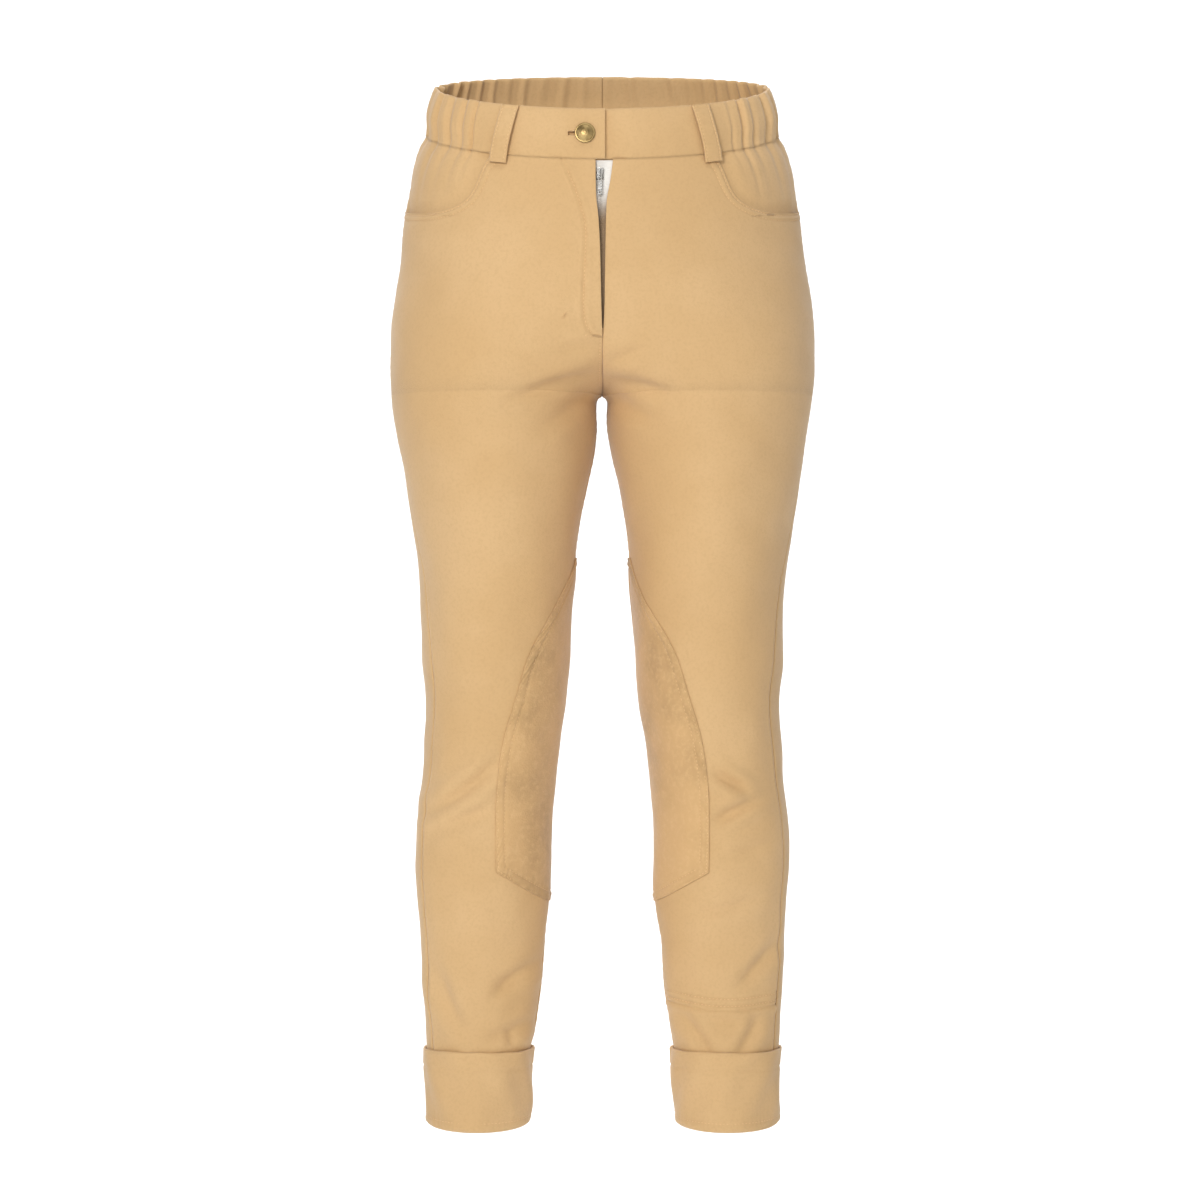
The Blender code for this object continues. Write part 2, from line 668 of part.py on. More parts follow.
def make_turn_up(side):
    """The hem turned up outside the leg: a wall that folds in under the leg's edge."""
    half = panel_angles(side, False, (TURN_UP_TOP + HEM) / 2)
    half[0], half[-1] = 0.0, math.pi
    angles = np.append(half, 2 * math.pi - half[-2:0:-1])
    out = column(TURN_UP_WALL, TURN_UP_WALL_COLUMNS, "out")
    level = HEM + column(TURN_UP_WALL, TURN_UP_WALL_COLUMNS, "height")
    rings = [round_inseam(side, np.full(out.shape, angle), level, out) for angle in angles]
    piece = solid_from_rings("turn_up_" + SIDE_NAMES[side], rings, closed=True)
    return finish(piece, CLOTH_COLOUR, 0.85)


def front_at(x, level, out):
    """A point over the front at a distance x from the centre line, on whichever half x falls."""
    half = 1 if x >= 0 else -1
    return cloth(half, -angle_at(abs(x), level), level, out)


def make_zip_tape():
    """The two woven tapes with the closed teeth between them, flat behind the fly."""
    rings = []
    for level in np.linspace(BAND_BOTTOM - TAPE_INSET, FLY_BOTTOM + TAPE_INSET, TAPE_ROWS):
        height = [relief(1 if x >= 0 else -1, -angle_at(abs(x), level), level) for x in TAPE_EDGES]
        outer = [front_at(x, level, -TAPE_DEPTH - h) for x, h in zip(TAPE_EDGES, height)]
        back = TAPE_DEPTH + TAPE_CLOTH
        inner = [front_at(x, level, -back - h) for x, h in zip(TAPE_EDGES, height)]
        rings.append(np.array(outer + inner[::-1]))
    return finish(solid_from_rings("zip_tape", rings), TAPE_COLOUR, 0.8)


def slider_frame():
    """The slider's own axes: its origin on the tape, z up along the teeth, -y out of the cloth."""
    above = Vector(surface(-1, -angle_at(-SLIDER_X, SLIDER_LEVEL), SLIDER_LEVEL))
    lower_level = SLIDER_LEVEL - 0.025
    below = Vector(surface(-1, -angle_at(-SLIDER_X, lower_level), lower_level))
    lean = math.atan2(above.y - below.y, above.z - below.z)
    seat = above + Vector((0, math.cos(lean), -math.sin(lean))) * (TAPE_DEPTH - SEAM_GAP)
    return Matrix.Translation(seat) @ Matrix.Rotation(-lean, 4, "X")


def block(name, size, middle, bevel=0.0):
    """A block with its edges rounded off, as a mesh object at the origin."""
    mesh = bpy.data.meshes.new(name)
    bm = bmesh.new()
    bmesh.ops.create_cube(bm, size=1.0)
    bmesh.ops.scale(bm, vec=size, verts=bm.verts)
    bmesh.ops.translate(bm, vec=middle, verts=bm.verts)
    if bevel:
        bmesh.ops.bevel(bm, geom=bm.edges, offset=bevel, segments=2, affect="EDGES", profile=0.5)
    bm.to_mesh(mesh)
    bm.free()
    return place(name, mesh)


def helper(piece, parent):
    """Marks a piece as a cutter or as the second half of a union, moved with its parent."""
    piece.hide_render = True
    piece.display_type = "WIRE"
    piece.parent = parent
    return piece


def combine(piece, other, operation):
    change = piece.modifiers.new(other.name, "BOOLEAN")
    change.operation = operation
    change.solver = "EXACT"
    change.object = helper(other, piece)


def make_slider(frame):
    """The slider's body with the arch that the pull hangs from."""
    depth = SLIDER_SIZE[1]
    slider = block("zip_slider", SLIDER_SIZE, (0, -depth / 2, 0), SLIDER_BEVEL)
    width, stand, length = ARCH_SIZE
    arch_middle = -depth - stand / 2 + ARCH_SUNK / 2
    arch = block("slider_arch", (width, stand + ARCH_SUNK, length), (0, arch_middle, 0), ARCH_BEVEL)
    hole_middle = -depth - ARCH_HOLE[0] / 2
    hole = block("slider_arch_hole", (TOOL_LENGTH, *ARCH_HOLE), (0, hole_middle, 0))
    combine(arch, hole, "DIFFERENCE")
    combine(slider, arch, "UNION")
    slider.matrix_world = frame
    return finish(slider, STEEL_COLOUR, 0.3, 1.0)


def make_pull(frame):
    """The pull tab, hung on its bar under the arch. Its origin is the bar's axis."""
    pivot = Vector((0, -SLIDER_SIZE[1] - ARCH_HOLE[0] / 2, -PIVOT_BELOW))
    length = PULL_SIZE[2]
    pull = block("zip_pull", PULL_SIZE, (0, 0, PULL_BAR / 2 - length / 2), PULL_BEVEL)
    window_middle = (0, 0, -PULL_BAR / 2 - PULL_WINDOW[1] / 2)
    window = block("pull_window", (PULL_WINDOW[0], TOOL_LENGTH, PULL_WINDOW[1]), window_middle)
    combine(pull, window, "DIFFERENCE")
    eye_mesh = bpy.data.meshes.new("pull_eye")
    bm = bmesh.new()
    eye_middle = (0, 0, PULL_BAR / 2 - length + PULL_EYE_RISE)
    bmesh.ops.create_cone(
        bm,
        cap_ends=True,
        segments=12,
        radius1=PULL_EYE_RADIUS,
        radius2=PULL_EYE_RADIUS,
        depth=TOOL_LENGTH,
        matrix=Matrix.Translation(eye_middle) @ Matrix.Rotation(math.pi / 2, 4, "X"),
    )
    bm.to_mesh(eye_mesh)
    bm.free()
    combine(pull, place("pull_eye", eye_mesh), "DIFFERENCE")
    pull.matrix_world = frame @ Matrix.Translation(pivot)
    return finish(pull, STEEL_COLOUR, 0.3, 1.0)


def make_button():
    """The turned button: a shank from the underlap, through the buttonhole, to a domed cap."""
    angle = -angle_at(-BUTTON_X, 0.0)
    centre = Vector(surface(-1, angle, 0.0))
    normal = Vector(outward(-1, angle, 0.0, square=False))
    turn = normal.to_track_quat("Z", "Y").to_matrix()
    angles = np.arange(BUTTON_SIDES) * 2 * math.pi / BUTTON_SIDES
    circle = np.stack([np.cos(angles), np.sin(angles), np.zeros(BUTTON_SIDES)], axis=-1)
    rings = []
    for row in BUTTON:
        ring = dict(zip(BUTTON_COLUMNS, row))
        local = circle * ring["radius"] + np.array([0, 0, ring["out"]])
        rings.append(local @ np.array(turn).T + np.array(centre))
    return finish(solid_from_rings("waist_button", rings), BRASS_COLOUR, 0.35, 1.0)


def main():
    for leftover in list(bpy.data.objects):
        bpy.data.objects.remove(leftover, do_unlink=True)
    for side in (1, -1):
        make_panel(side, True)
        make_panel(side, False)
        make_pocket_facing(side)
        band = make_waistband(side)
        if side < 0:
            cut_buttonhole(band)
        make_belt_loop("belt_loop_" + SIDE_NAMES[side], side, True, LOOP_LEAN[side])
        make_knee_patch(side)
        make_turn_up(side)
    make_belt_loop("belt_loop_back", 1, False, (0.0, 0.0))
    make_zip_tape()
    frame = slider_frame()
    make_slider(frame)
    make_pull(frame)
    make_button()


main()
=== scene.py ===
# %% [markdown]
# # Riding jodhpurs, standing open as if worn
#
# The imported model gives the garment's pieces at their real size. This lesson gives each piece its
# looks: fine cloth shells with folds and seams, rows of stitches, metal and suede. It could be done
# by sculpting, but every shape here is a formula on a grid, so that each fold has a number that a
# maker can read and change.

# %% Load the frame
import json
import math

import bpy
import numpy as np
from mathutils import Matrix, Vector

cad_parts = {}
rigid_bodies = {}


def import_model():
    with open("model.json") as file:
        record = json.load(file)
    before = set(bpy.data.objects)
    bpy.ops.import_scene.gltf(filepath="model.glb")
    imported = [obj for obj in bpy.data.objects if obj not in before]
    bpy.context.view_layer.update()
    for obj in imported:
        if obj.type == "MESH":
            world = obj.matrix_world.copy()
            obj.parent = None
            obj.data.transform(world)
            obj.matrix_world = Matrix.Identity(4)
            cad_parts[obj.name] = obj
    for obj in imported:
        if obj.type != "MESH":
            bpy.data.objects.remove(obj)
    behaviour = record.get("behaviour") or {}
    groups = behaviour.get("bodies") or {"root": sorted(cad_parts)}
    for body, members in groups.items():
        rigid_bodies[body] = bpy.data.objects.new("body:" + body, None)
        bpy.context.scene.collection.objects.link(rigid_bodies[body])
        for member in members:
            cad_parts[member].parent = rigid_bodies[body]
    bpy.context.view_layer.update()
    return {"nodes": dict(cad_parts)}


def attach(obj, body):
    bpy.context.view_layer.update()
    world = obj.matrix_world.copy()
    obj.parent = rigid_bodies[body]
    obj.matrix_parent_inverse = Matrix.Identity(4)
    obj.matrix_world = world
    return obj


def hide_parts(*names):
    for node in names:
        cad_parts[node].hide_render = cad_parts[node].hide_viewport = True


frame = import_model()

GARMENT = "garment"

# %% [markdown]
# ## Camera
#
# The photograph is level, taken from about three metres at the garment's middle height, so the front
# of the waist dips below its sides. A long lens at that distance gives the same look.

# %% Camera
PHOTO_SCALE = 0.00085
PHOTO_MIDDLE = (600, 600)
GARMENT_COLUMN = 602.5
SIDE_ROW = 112
CAMERA_DISTANCE = 3.2
SENSOR = 0.036
PICTURE_WIDTH = 1200 * PHOTO_SCALE

camera_data = bpy.data.cameras.new("camera")
camera_data.sensor_width = SENSOR * 1000
camera_data.lens = SENSOR * 1000 * CAMERA_DISTANCE / PICTURE_WIDTH
camera = bpy.data.objects.new("camera", camera_data)
camera.location = (
    (PHOTO_MIDDLE[0] - GARMENT_COLUMN) * PHOTO_SCALE,
    -CAMERA_DISTANCE,
    (SIDE_ROW - PHOTO_MIDDLE[1]) * PHOTO_SCALE,
)
camera.rotation_euler = (math.pi / 2, 0, 0)
bpy.context.scene.collection.objects.link(camera)
bpy.context.scene.camera = camera
print("lens", round(camera_data.lens, 1), "mm, height", round(camera.location.z, 3))

# %% [markdown]
# ## The cut of the garment
#
# Every cloth piece comes from one surface. A level is the height at the side seam, and an angle runs
# round one half of the garment: 0 at the side seam, negative over the front, positive over the back.
# Tables hold the sections from waist to hem, and cubic pieces join their rows. The same could be
# drawn as a loft through curves, but a formula can be asked for any point, which the seams need.

# %% Sizes and tables
SEAM_GAP = 0.0003
PANEL_CLOTH = 0.0014
BAND_BOTTOM = -0.0204
POCKET_BOTTOM = -0.0850
FLY_BOTTOM = -0.1970
CROTCH = -0.2422
PATCH_TOP, PATCH_CORNER, PATCH_BOTTOM = -0.3790, -0.6430, -0.6700
TURN_UP_TOP, HEM = -0.7948, -0.8576
WAIST_SLOPE, WAIST_BEND, DIP_END = 0.281, 0.34, -0.150
FRONT_RISE, BACK_RISE, THIGH_RISE = 0.034, 0.050, 0.075
QUARTER_BLEND, ARCH_DROP, RISE_ROUND = 0.5, 0.007, 0.006

SECTION_COLUMNS = ("level", "outer", "inner", "front", "back")
SECTIONS = (
    (0.0204, 0.1410, 0.0000, 0.0920, 0.0830),
    (0.0000, 0.1470, 0.0000, 0.0960, 0.0870),
    (-0.0204, 0.1485, 0.0000, 0.0980, 0.0890),
    (-0.0306, 0.1545, 0.0000, 0.1010, 0.0940),
    (-0.0442, 0.1592, 0.0000, 0.1035, 0.0985),
    (-0.0714, 0.1640, 0.0000, 0.1070, 0.1060),
    (-0.0986, 0.1687, 0.0000, 0.1095, 0.1125),
    (-0.1258, 0.1717, 0.0000, 0.1110, 0.1180),
    (-0.1530, 0.1758, 0.0000, 0.1120, 0.1225),
    (-0.1802, 0.1795, 0.0000, 0.1110, 0.1250),
    (-0.2074, 0.1803, 0.0000, 0.1080, 0.1240),
    (-0.2422, 0.1787, 0.0036, 0.1020, 0.1170),
    (-0.2720, 0.1747, 0.0047, 0.0970, 0.1080),
    (-0.2975, 0.1700, 0.0089, 0.0940, 0.1010),
    (-0.3298, 0.1649, 0.0157, 0.0900, 0.0930),
    (-0.3638, 0.1594, 0.0213, 0.0850, 0.0850),
    (-0.3978, 0.1547, 0.0234, 0.0795, 0.0780),
    (-0.4318, 0.1534, 0.0267, 0.0740, 0.0700),
    (-0.4658, 0.1530, 0.0285, 0.0690, 0.0610),
    (-0.4998, 0.1498, 0.0312, 0.0645, 0.0545),
    (-0.5338, 0.1515, 0.0372, 0.0610, 0.0525),
    (-0.5678, 0.1534, 0.0408, 0.0570, 0.0560),
    (-0.6018, 0.1577, 0.0440, 0.0535, 0.0610),
    (-0.6358, 0.1590, 0.0442, 0.0510, 0.0645),
    (-0.6698, 0.1568, 0.0452, 0.0490, 0.0635),
    (-0.7038, 0.1547, 0.0495, 0.0470, 0.0590),
    (-0.7378, 0.1530, 0.0516, 0.0455, 0.0530),
    (-0.7718, 0.1505, 0.0562, 0.0450, 0.0475),
    (-0.7948, 0.1490, 0.0605, 0.0450, 0.0455),
    (-0.8260, 0.1468, 0.0627, 0.0450, 0.0450),
    (-0.8576, 0.1468, 0.0640, 0.0450, 0.0450),
)

FLY_COLUMNS = ("level", "right", "left")
FLY = (
    (-0.0204, 0.0056, 0.0085),
    (-0.0400, 0.0054, 0.0060),
    (-0.0560, 0.0050, 0.0036),
    (-0.0750, 0.0036, 0.0028),
    (-0.1100, 0.0022, 0.0022),
    (-0.1500, 0.0014, 0.0016),
    (-0.1850, 0.0006, 0.0008),
    (-0.1970, 0.0000, 0.0000),
)

PATCH_COLUMNS = ("level", "share")
PATCH = (
    (-0.3790, 0.948),
    (-0.4140, 0.808),
    (-0.4350, 0.730),
    (-0.4575, 0.661),
    (-0.4860, 0.611),
    (-0.5160, 0.574),
    (-0.5430, 0.558),
    (-0.5645, 0.550),
    (-0.6040, 0.566),
    (-0.6430, 0.570),
)
print(len(SECTIONS), "sections")

# %% Curves through the tables


def column(table, names, name):
    """One named column of a table as an array."""
    return np.array([row[names.index(name)] for row in table], float)


def smooth(start, end, value):
    """0 before start, 1 after end: 3 t^2 - 2 t^3 between them."""
    share = np.clip((value - start) / (end - start), 0, 1)
    return share * share * (3 - 2 * share)


def curve_through(levels, values, level):
    """Cubic pieces through the rows, each leaving a row at the slope of its neighbours."""
    heights, values = levels[::-1], values[::-1]
    slopes = np.gradient(values, heights)
    level = np.clip(level, heights[0], heights[-1])
    index = np.clip(np.searchsorted(heights, level) - 1, 0, len(heights) - 2)
    span = heights[index + 1] - heights[index]
    t = (level - heights[index]) / span
    start = (1 + 2 * t) * (1 - t) ** 2 * values[index] + t * (1 - t) ** 2 * span * slopes[index]
    end = t * t * (3 - 2 * t) * values[index + 1] - t * t * (1 - t) * span * slopes[index + 1]
    return start + end


def section(name, level):
    levels = column(SECTIONS, SECTION_COLUMNS, "level")
    return curve_through(levels, column(SECTIONS, SECTION_COLUMNS, name), level)


def fly_edge(side, level):
    """How far a front's edge stands from the centre line inside the fly."""
    levels = column(FLY, FLY_COLUMNS, "level")
    edge = curve_through(levels, column(FLY, FLY_COLUMNS, "left" if side > 0 else "right"), level)
    return np.where(level > FLY_BOTTOM, np.maximum(edge, 0), 0)


print("waist half width", float(section("outer", 0.0)))

# %% [markdown]
# ## One surface for all the cloth
#
# Below the crotch a half is an ellipse round the leg. Above it, the ellipse runs on past the centre
# line, where the two halves meet in the rise seam. Points are moved out from the surface along its
# normal, by the height of the folds and then by the place of the piece in its layers.

# %% The surface and its normals


def across(angle, level):
    """Distance from the centre line: middle + half width * cos(angle), on two quarter ellipses."""
    outer = section("outer", level)
    gap = section("inner", np.minimum(level, CROTCH))
    drop = np.clip((CROTCH - level) / ARCH_DROP, 0, 1)
    rise = np.maximum(level - CROTCH, 0)
    eased = np.hypot(rise, RISE_ROUND) - RISE_ROUND
    thigh = np.exp(-((rise / THIGH_RISE) ** 2))
    joined = np.exp(-eased / np.where(angle < 0, FRONT_RISE, BACK_RISE))
    side_middle = outer * thigh / (1 + thigh) + gap * thigh / 2
    centre_middle = outer * joined / (1 + joined) + gap * joined / 2
    inner = gap * np.sqrt(1 - (1 - drop) ** 2) - outer * (1 - joined) / (1 + joined)
    share = smooth(math.pi / 2 - QUARTER_BLEND, math.pi / 2 + QUARTER_BLEND, np.abs(angle))
    middle = side_middle * (1 - share) + centre_middle * share
    half_width = (outer - side_middle) * (1 - share) + (centre_middle - inner) * share
    return middle + half_width * np.cos(angle)


def surface(side, angle, level):
    """x = across, y = depth * sin(angle), z = level with a dip towards the front of the waist."""
    angle, level = np.broadcast_arrays(angle, level)
    x = SEAM_GAP / 2 + across(angle, level)
    y = np.where(angle < 0, section("front", level), section("back", level)) * np.sin(angle)
    dip = (WAIST_SLOPE * y - WAIST_BEND * y * y) * smooth(DIP_END, BAND_BOTTOM, level)
    return np.stack([side * x, y, level + dip], axis=-1)


def outward(side, angle, level, square=True):
    """Unit normals, from differences of the surface, kept level near the waist seam."""
    turn, fall = 0.01, 0.0005
    along = surface(side, angle + turn, level) - surface(side, angle - turn, level)
    down = surface(side, angle, level - fall) - surface(side, angle, level + fall)
    normal = side * np.cross(down, along)
    if square:
        normal[..., 2] *= smooth(-0.060, -0.120, np.broadcast_to(level, normal.shape[:-1]))
    return normal / np.linalg.norm(normal, axis=-1, keepdims=True)


def angle_at(x, level, front=True):
    """The size of the angle at which the surface stands at x, found by halving an interval."""
    x, level = np.broadcast_arrays(x, level)
    sign = -1 if front else 1
    low, high = np.full(x.shape, 1e-6), np.full(x.shape, math.pi)
    for _ in range(36):
        middle = (low + high) / 2
        beyond = across(sign * middle, level) + SEAM_GAP / 2 > x
        low, high = np.where(beyond, middle, low), np.where(beyond, high, middle)
    return (low + high) / 2


print("side of the hip at", surface(1, np.array(0.0), np.array(-0.2)).round(4))

# %% [markdown]
# ## Folds
#
# Worn cloth is never plain: it drags in fine lines from the crotch, crushes in front of and behind
# the knee, and slumps on the turn-up. Each fold is one row of a table, a line from one point to
# another with a bow, a width and a height. A cloth simulation would place them by chance. Here they
# are put where the photograph shows them, with similar ones on the sides that it hides.

# %% Fold tables
FOLD_COLUMNS = ("side", "face", "x", "level", "reach", "slope", "width", "height")
FOLDS = (
    (-1, -1, 0.060, -0.262, 0.050, 14, 0.014, -0.0022),
    (1, -1, 0.056, -0.258, 0.046, 16, 0.014, -0.0022),
    (-1, -1, 0.106, -0.575, 0.036, 28, 0.014, 0.0026),
    (-1, -1, 0.112, -0.604, 0.034, 30, 0.015, -0.0022),
    (1, -1, 0.112, -0.580, 0.032, 34, 0.015, 0.0022),
    (-1, -1, 0.078, -0.738, 0.030, -36, 0.014, -0.0024),
    (1, -1, 0.128, -0.726, 0.030, -44, 0.014, -0.0024),
    (-1, 1, 0.090, -0.500, 0.050, 10, 0.016, -0.0034),
    (1, 1, 0.090, -0.506, 0.050, 14, 0.016, -0.0034),
    (-1, 1, 0.092, -0.540, 0.044, -12, 0.016, 0.0026),
    (1, 1, 0.092, -0.546, 0.044, -8, 0.016, 0.0026),
    (-1, 1, 0.070, -0.272, 0.052, 20, 0.018, -0.0030),
    (1, 1, 0.070, -0.268, 0.052, 22, 0.018, -0.0030),
    (-1, 1, 0.104, -0.752, 0.034, 18, 0.014, -0.0022),
    (1, 1, 0.104, -0.746, 0.034, -16, 0.014, -0.0022),
)

CREASE_COLUMNS = ("side", "face", "x0", "level0", "x1", "level1", "bow", "width", "height")
CREASES = (
    (-1, -1, 0.006, -0.2290, 0.080, -0.2530, 0.0030, 0.0044, -0.0026),
    (-1, -1, 0.004, -0.2080, 0.036, -0.2090, 0.0010, 0.0050, -0.0017),
    (-1, -1, 0.008, -0.2400, 0.056, -0.2760, -0.0030, 0.0056, -0.0018),
    (1, -1, 0.003, -0.2320, 0.054, -0.2450, 0.0020, 0.0044, -0.0025),
    (1, -1, 0.004, -0.2190, 0.040, -0.2080, 0.0010, 0.0046, -0.0017),
    (1, -1, 0.008, -0.2420, 0.050, -0.2700, -0.0030, 0.0056, -0.0016),
    (-1, -1, 0.086, -0.5480, 0.150, -0.5960, -0.0040, 0.0058, -0.0048),
    (-1, -1, 0.094, -0.5900, 0.144, -0.6120, 0.0030, 0.0060, -0.0024),
    (-1, -1, 0.090, -0.6240, 0.124, -0.6180, 0.0020, 0.0050, -0.0009),
    (1, -1, 0.090, -0.5580, 0.122, -0.5770, 0.0010, 0.0044, -0.0042),
    (1, -1, 0.092, -0.6020, 0.132, -0.5820, 0.0020, 0.0046, -0.0040),
    (1, -1, 0.074, -0.6780, 0.132, -0.6660, -0.0020, 0.0050, -0.0024),
    (1, -1, 0.100, -0.6280, 0.146, -0.6160, -0.0020, 0.0052, -0.0014),
    (-1, -1, 0.050, -0.7180, 0.094, -0.7500, 0.0020, 0.0056, -0.0032),
    (-1, -1, 0.056, -0.7690, 0.100, -0.7840, -0.0010, 0.0050, -0.0030),
    (-1, -1, 0.140, -0.7240, 0.112, -0.7830, 0.0030, 0.0062, -0.0034),
    (-1, -1, 0.078, -0.7900, 0.074, -0.7760, 0.0000, 0.0040, -0.0020),
    (1, -1, 0.150, -0.7000, 0.112, -0.7400, 0.0020, 0.0052, -0.0028),
    (1, -1, 0.132, -0.7640, 0.112, -0.7960, 0.0020, 0.0048, -0.0028),
    (1, -1, 0.066, -0.7640, 0.090, -0.7960, 0.0010, 0.0046, -0.0028),
    (1, -1, 0.084, -0.7720, 0.116, -0.7720, 0.0020, 0.0056, -0.0018),
    (-1, 1, 0.050, -0.4780, 0.128, -0.4860, 0.0060, 0.0056, -0.0026),
    (-1, 1, 0.046, -0.5060, 0.120, -0.5180, -0.0050, 0.0052, -0.0030),
    (-1, 1, 0.060, -0.5300, 0.134, -0.5240, 0.0050, 0.0056, -0.0024),
    (1, 1, 0.048, -0.4820, 0.124, -0.4900, 0.0050, 0.0056, -0.0026),
    (1, 1, 0.052, -0.5120, 0.130, -0.5200, -0.0060, 0.0052, -0.0030),
    (1, 1, 0.050, -0.5380, 0.116, -0.5280, 0.0040, 0.0056, -0.0022),
    (-1, 1, 0.010, -0.2560, 0.090, -0.2860, 0.0060, 0.0060, -0.0026),
    (-1, 1, 0.016, -0.2760, 0.070, -0.3040, 0.0040, 0.0056, -0.0020),
    (1, 1, 0.010, -0.2540, 0.096, -0.2820, 0.0060, 0.0060, -0.0026),
    (1, 1, 0.018, -0.2780, 0.066, -0.3000, 0.0040, 0.0056, -0.0020),
    (-1, 1, 0.070, -0.7340, 0.130, -0.7500, 0.0040, 0.0056, -0.0024),
    (-1, 1, 0.080, -0.7660, 0.134, -0.7760, -0.0030, 0.0052, -0.0022),
    (1, 1, 0.074, -0.7400, 0.132, -0.7280, 0.0040, 0.0056, -0.0024),
    (1, 1, 0.070, -0.7700, 0.124, -0.7800, 0.0030, 0.0052, -0.0022),
)
FLY_PROUD, FLY_SUNK, FLY_STEP_WIDTH = 0.0015, 0.0008, 0.012

# %% Height of the folds
SEAM_COLUMNS = ("level", "right", "left")
SIDE_SEAM = (
    (0.0000, 0.00, 0.00),
    (-0.2600, 0.00, 0.00),
    (-0.4100, 0.40, 0.42),
    (-0.4700, 0.54, 0.52),
    (-0.5500, 0.50, 0.52),
    (-0.6200, 0.48, 0.46),
    (-0.8576, 0.50, 0.46),
)
GATHER_FALL = 0.020
GATHER_HEIGHT, GATHER_START = 0.0019, -0.80
VALLEYS = {
    -1: (-0.80, -0.745, -0.638, -0.513, -0.337, -0.117, 0.165, 0.331, 0.471, 0.604, 0.725, 0.850, 0.968, 1.082, 1.203, 1.330, 1.455, 1.571),
    1: (-0.80, -0.745, -0.643, -0.527, -0.370, -0.165, 0.117, 0.286, 0.440, 0.567, 0.683, 0.791, 0.909, 1.020, 1.136, 1.260, 1.389, 1.571),
}


def soft_fold(fold, x, level):
    """height * exp(-(along / reach)^2 - (aside / width)^2), on axes turned by the fold's slope."""
    slope = math.radians(fold["slope"])
    right, up = x - fold["x"], level - fold["level"]
    along = right * math.cos(slope) - up * math.sin(slope)
    aside = right * math.sin(slope) + up * math.cos(slope)
    return fold["height"] * np.exp(-((along / fold["reach"]) ** 2) - (aside / fold["width"]) ** 2)


def crease(line, x, level):
    """A narrow trough with a lip on each side, along a bowed line, fading to both of its ends."""
    run = np.array([line["x1"] - line["x0"], line["level1"] - line["level0"]])
    length = np.hypot(*run)
    run = run / length
    right, up = x - line["x0"], level - line["level0"]
    t = (right * run[0] + up * run[1]) / length
    bowed = line["bow"] * 4 * t * (1 - t)
    aside = (up * run[0] - right * run[1] - bowed) / line["width"]
    fade = smooth(-0.15, 0.35, t) * smooth(1.2, 0.6, t)
    profile = np.exp(-(aside**2)) - 0.42 * np.exp(-((np.abs(aside) - 2.1) ** 2) / 1.3)
    return line["height"] * fade * profile


def ripple(side, angle, level):
    """Slight unevenness of hanging cloth: three slanted waves that don't repeat together."""
    first = np.sin(23 * level + 2.1 * angle + side) * np.sin(9 * level - 3.3 * angle + 0.7 * side)
    second = np.sin(61 * level - 5 * angle + 2 * side) * np.sin(17 * level + 4 * angle)
    third = np.sin(140 * level + 3 * angle - side) * np.sin(40 * level + 9 * angle + 1.7 * side)
    calm = smooth(BAND_BOTTOM, -0.06, level) * smooth(HEM, HEM + 0.06, level)
    return calm * (0.00070 * first + 0.0005 * second + 0.00020 * third)


def gather_height(side, angle, level):
    """Between the valleys' angles, ridges -cos(turn) - 0.3 cos(2 turn), uneven and calmer at the back."""
    valleys = np.array(VALLEYS[side])
    turn = np.interp(angle + 0.010 * np.sin(60 * level + 7 * angle), valleys, np.arange(len(valleys)))
    width = np.interp(turn, np.arange(len(valleys) - 1) + 0.5, np.diff(valleys) / 0.125)
    ridge = -0.85 * np.cos(2 * np.pi * turn) - 0.28 * np.cos(4 * np.pi * turn)
    uneven = 0.78 + 0.40 * np.sin(2.7 * turn + 2 * side) + 0.16 * np.sin(95 * level + 3.1 * turn)
    uneven = uneven * (1 - 0.45 * smooth(0.5, 1.0, angle))
    fade = smooth(0, 1.2, turn) * smooth(0, 0.4, len(valleys) - 1 - turn)
    return GATHER_HEIGHT * ridge * uneven * np.sqrt(width) * fade


def relief(side, angle, level):
    """Height of the cloth over the plain surface: its folds, creases and the step of the fly."""
    angle, level = np.broadcast_arrays(angle, level)
    front = angle < 0
    x = across(angle, level)
    height = ripple(side, angle, level)
    for names, table, shape in ((FOLD_COLUMNS, FOLDS, soft_fold), (CREASE_COLUMNS, CREASES, crease)):
        for row in table:
            line = dict(zip(names, row))
            if line["side"] == side:
                height += np.where(front == (line["face"] < 0), shape(line, x, level), 0)
    step = -FLY_SUNK if side > 0 else FLY_PROUD
    in_fly = smooth(BAND_BOTTOM, -0.030, level) * smooth(FLY_BOTTOM - 0.01, FLY_BOTTOM + 0.02, level)
    height += np.where(front, step * in_fly * np.exp(-((x / FLY_STEP_WIDTH) ** 2)), 0)
    below = np.exp(np.minimum(level - BAND_BOTTOM, 0) / GATHER_FALL) * (level < BAND_BOTTOM)
    return height + 0.75 * below * gather_height(side, angle, level)


def cloth(side, angle, level, out=0.0):
    """Points of the folded cloth, moved out from it by a distance."""
    return surface(side, angle, level) + outward(side, angle, level) * (relief(side, angle, level) + out)[..., None]


print(len(FOLDS), "soft folds and", len(CREASES), "creases")

# %% [markdown]
# ## From points to a mesh
#
# Each piece is a row of closed rings: its outer points, then its inner ones coming back. Quads join
# ring to ring, and a strip closes each end. Two separate faces and a Solidify modifier would also
# do it, but rings keep the thickness and the rolled edges in one formula.

# %% Meshes from rings


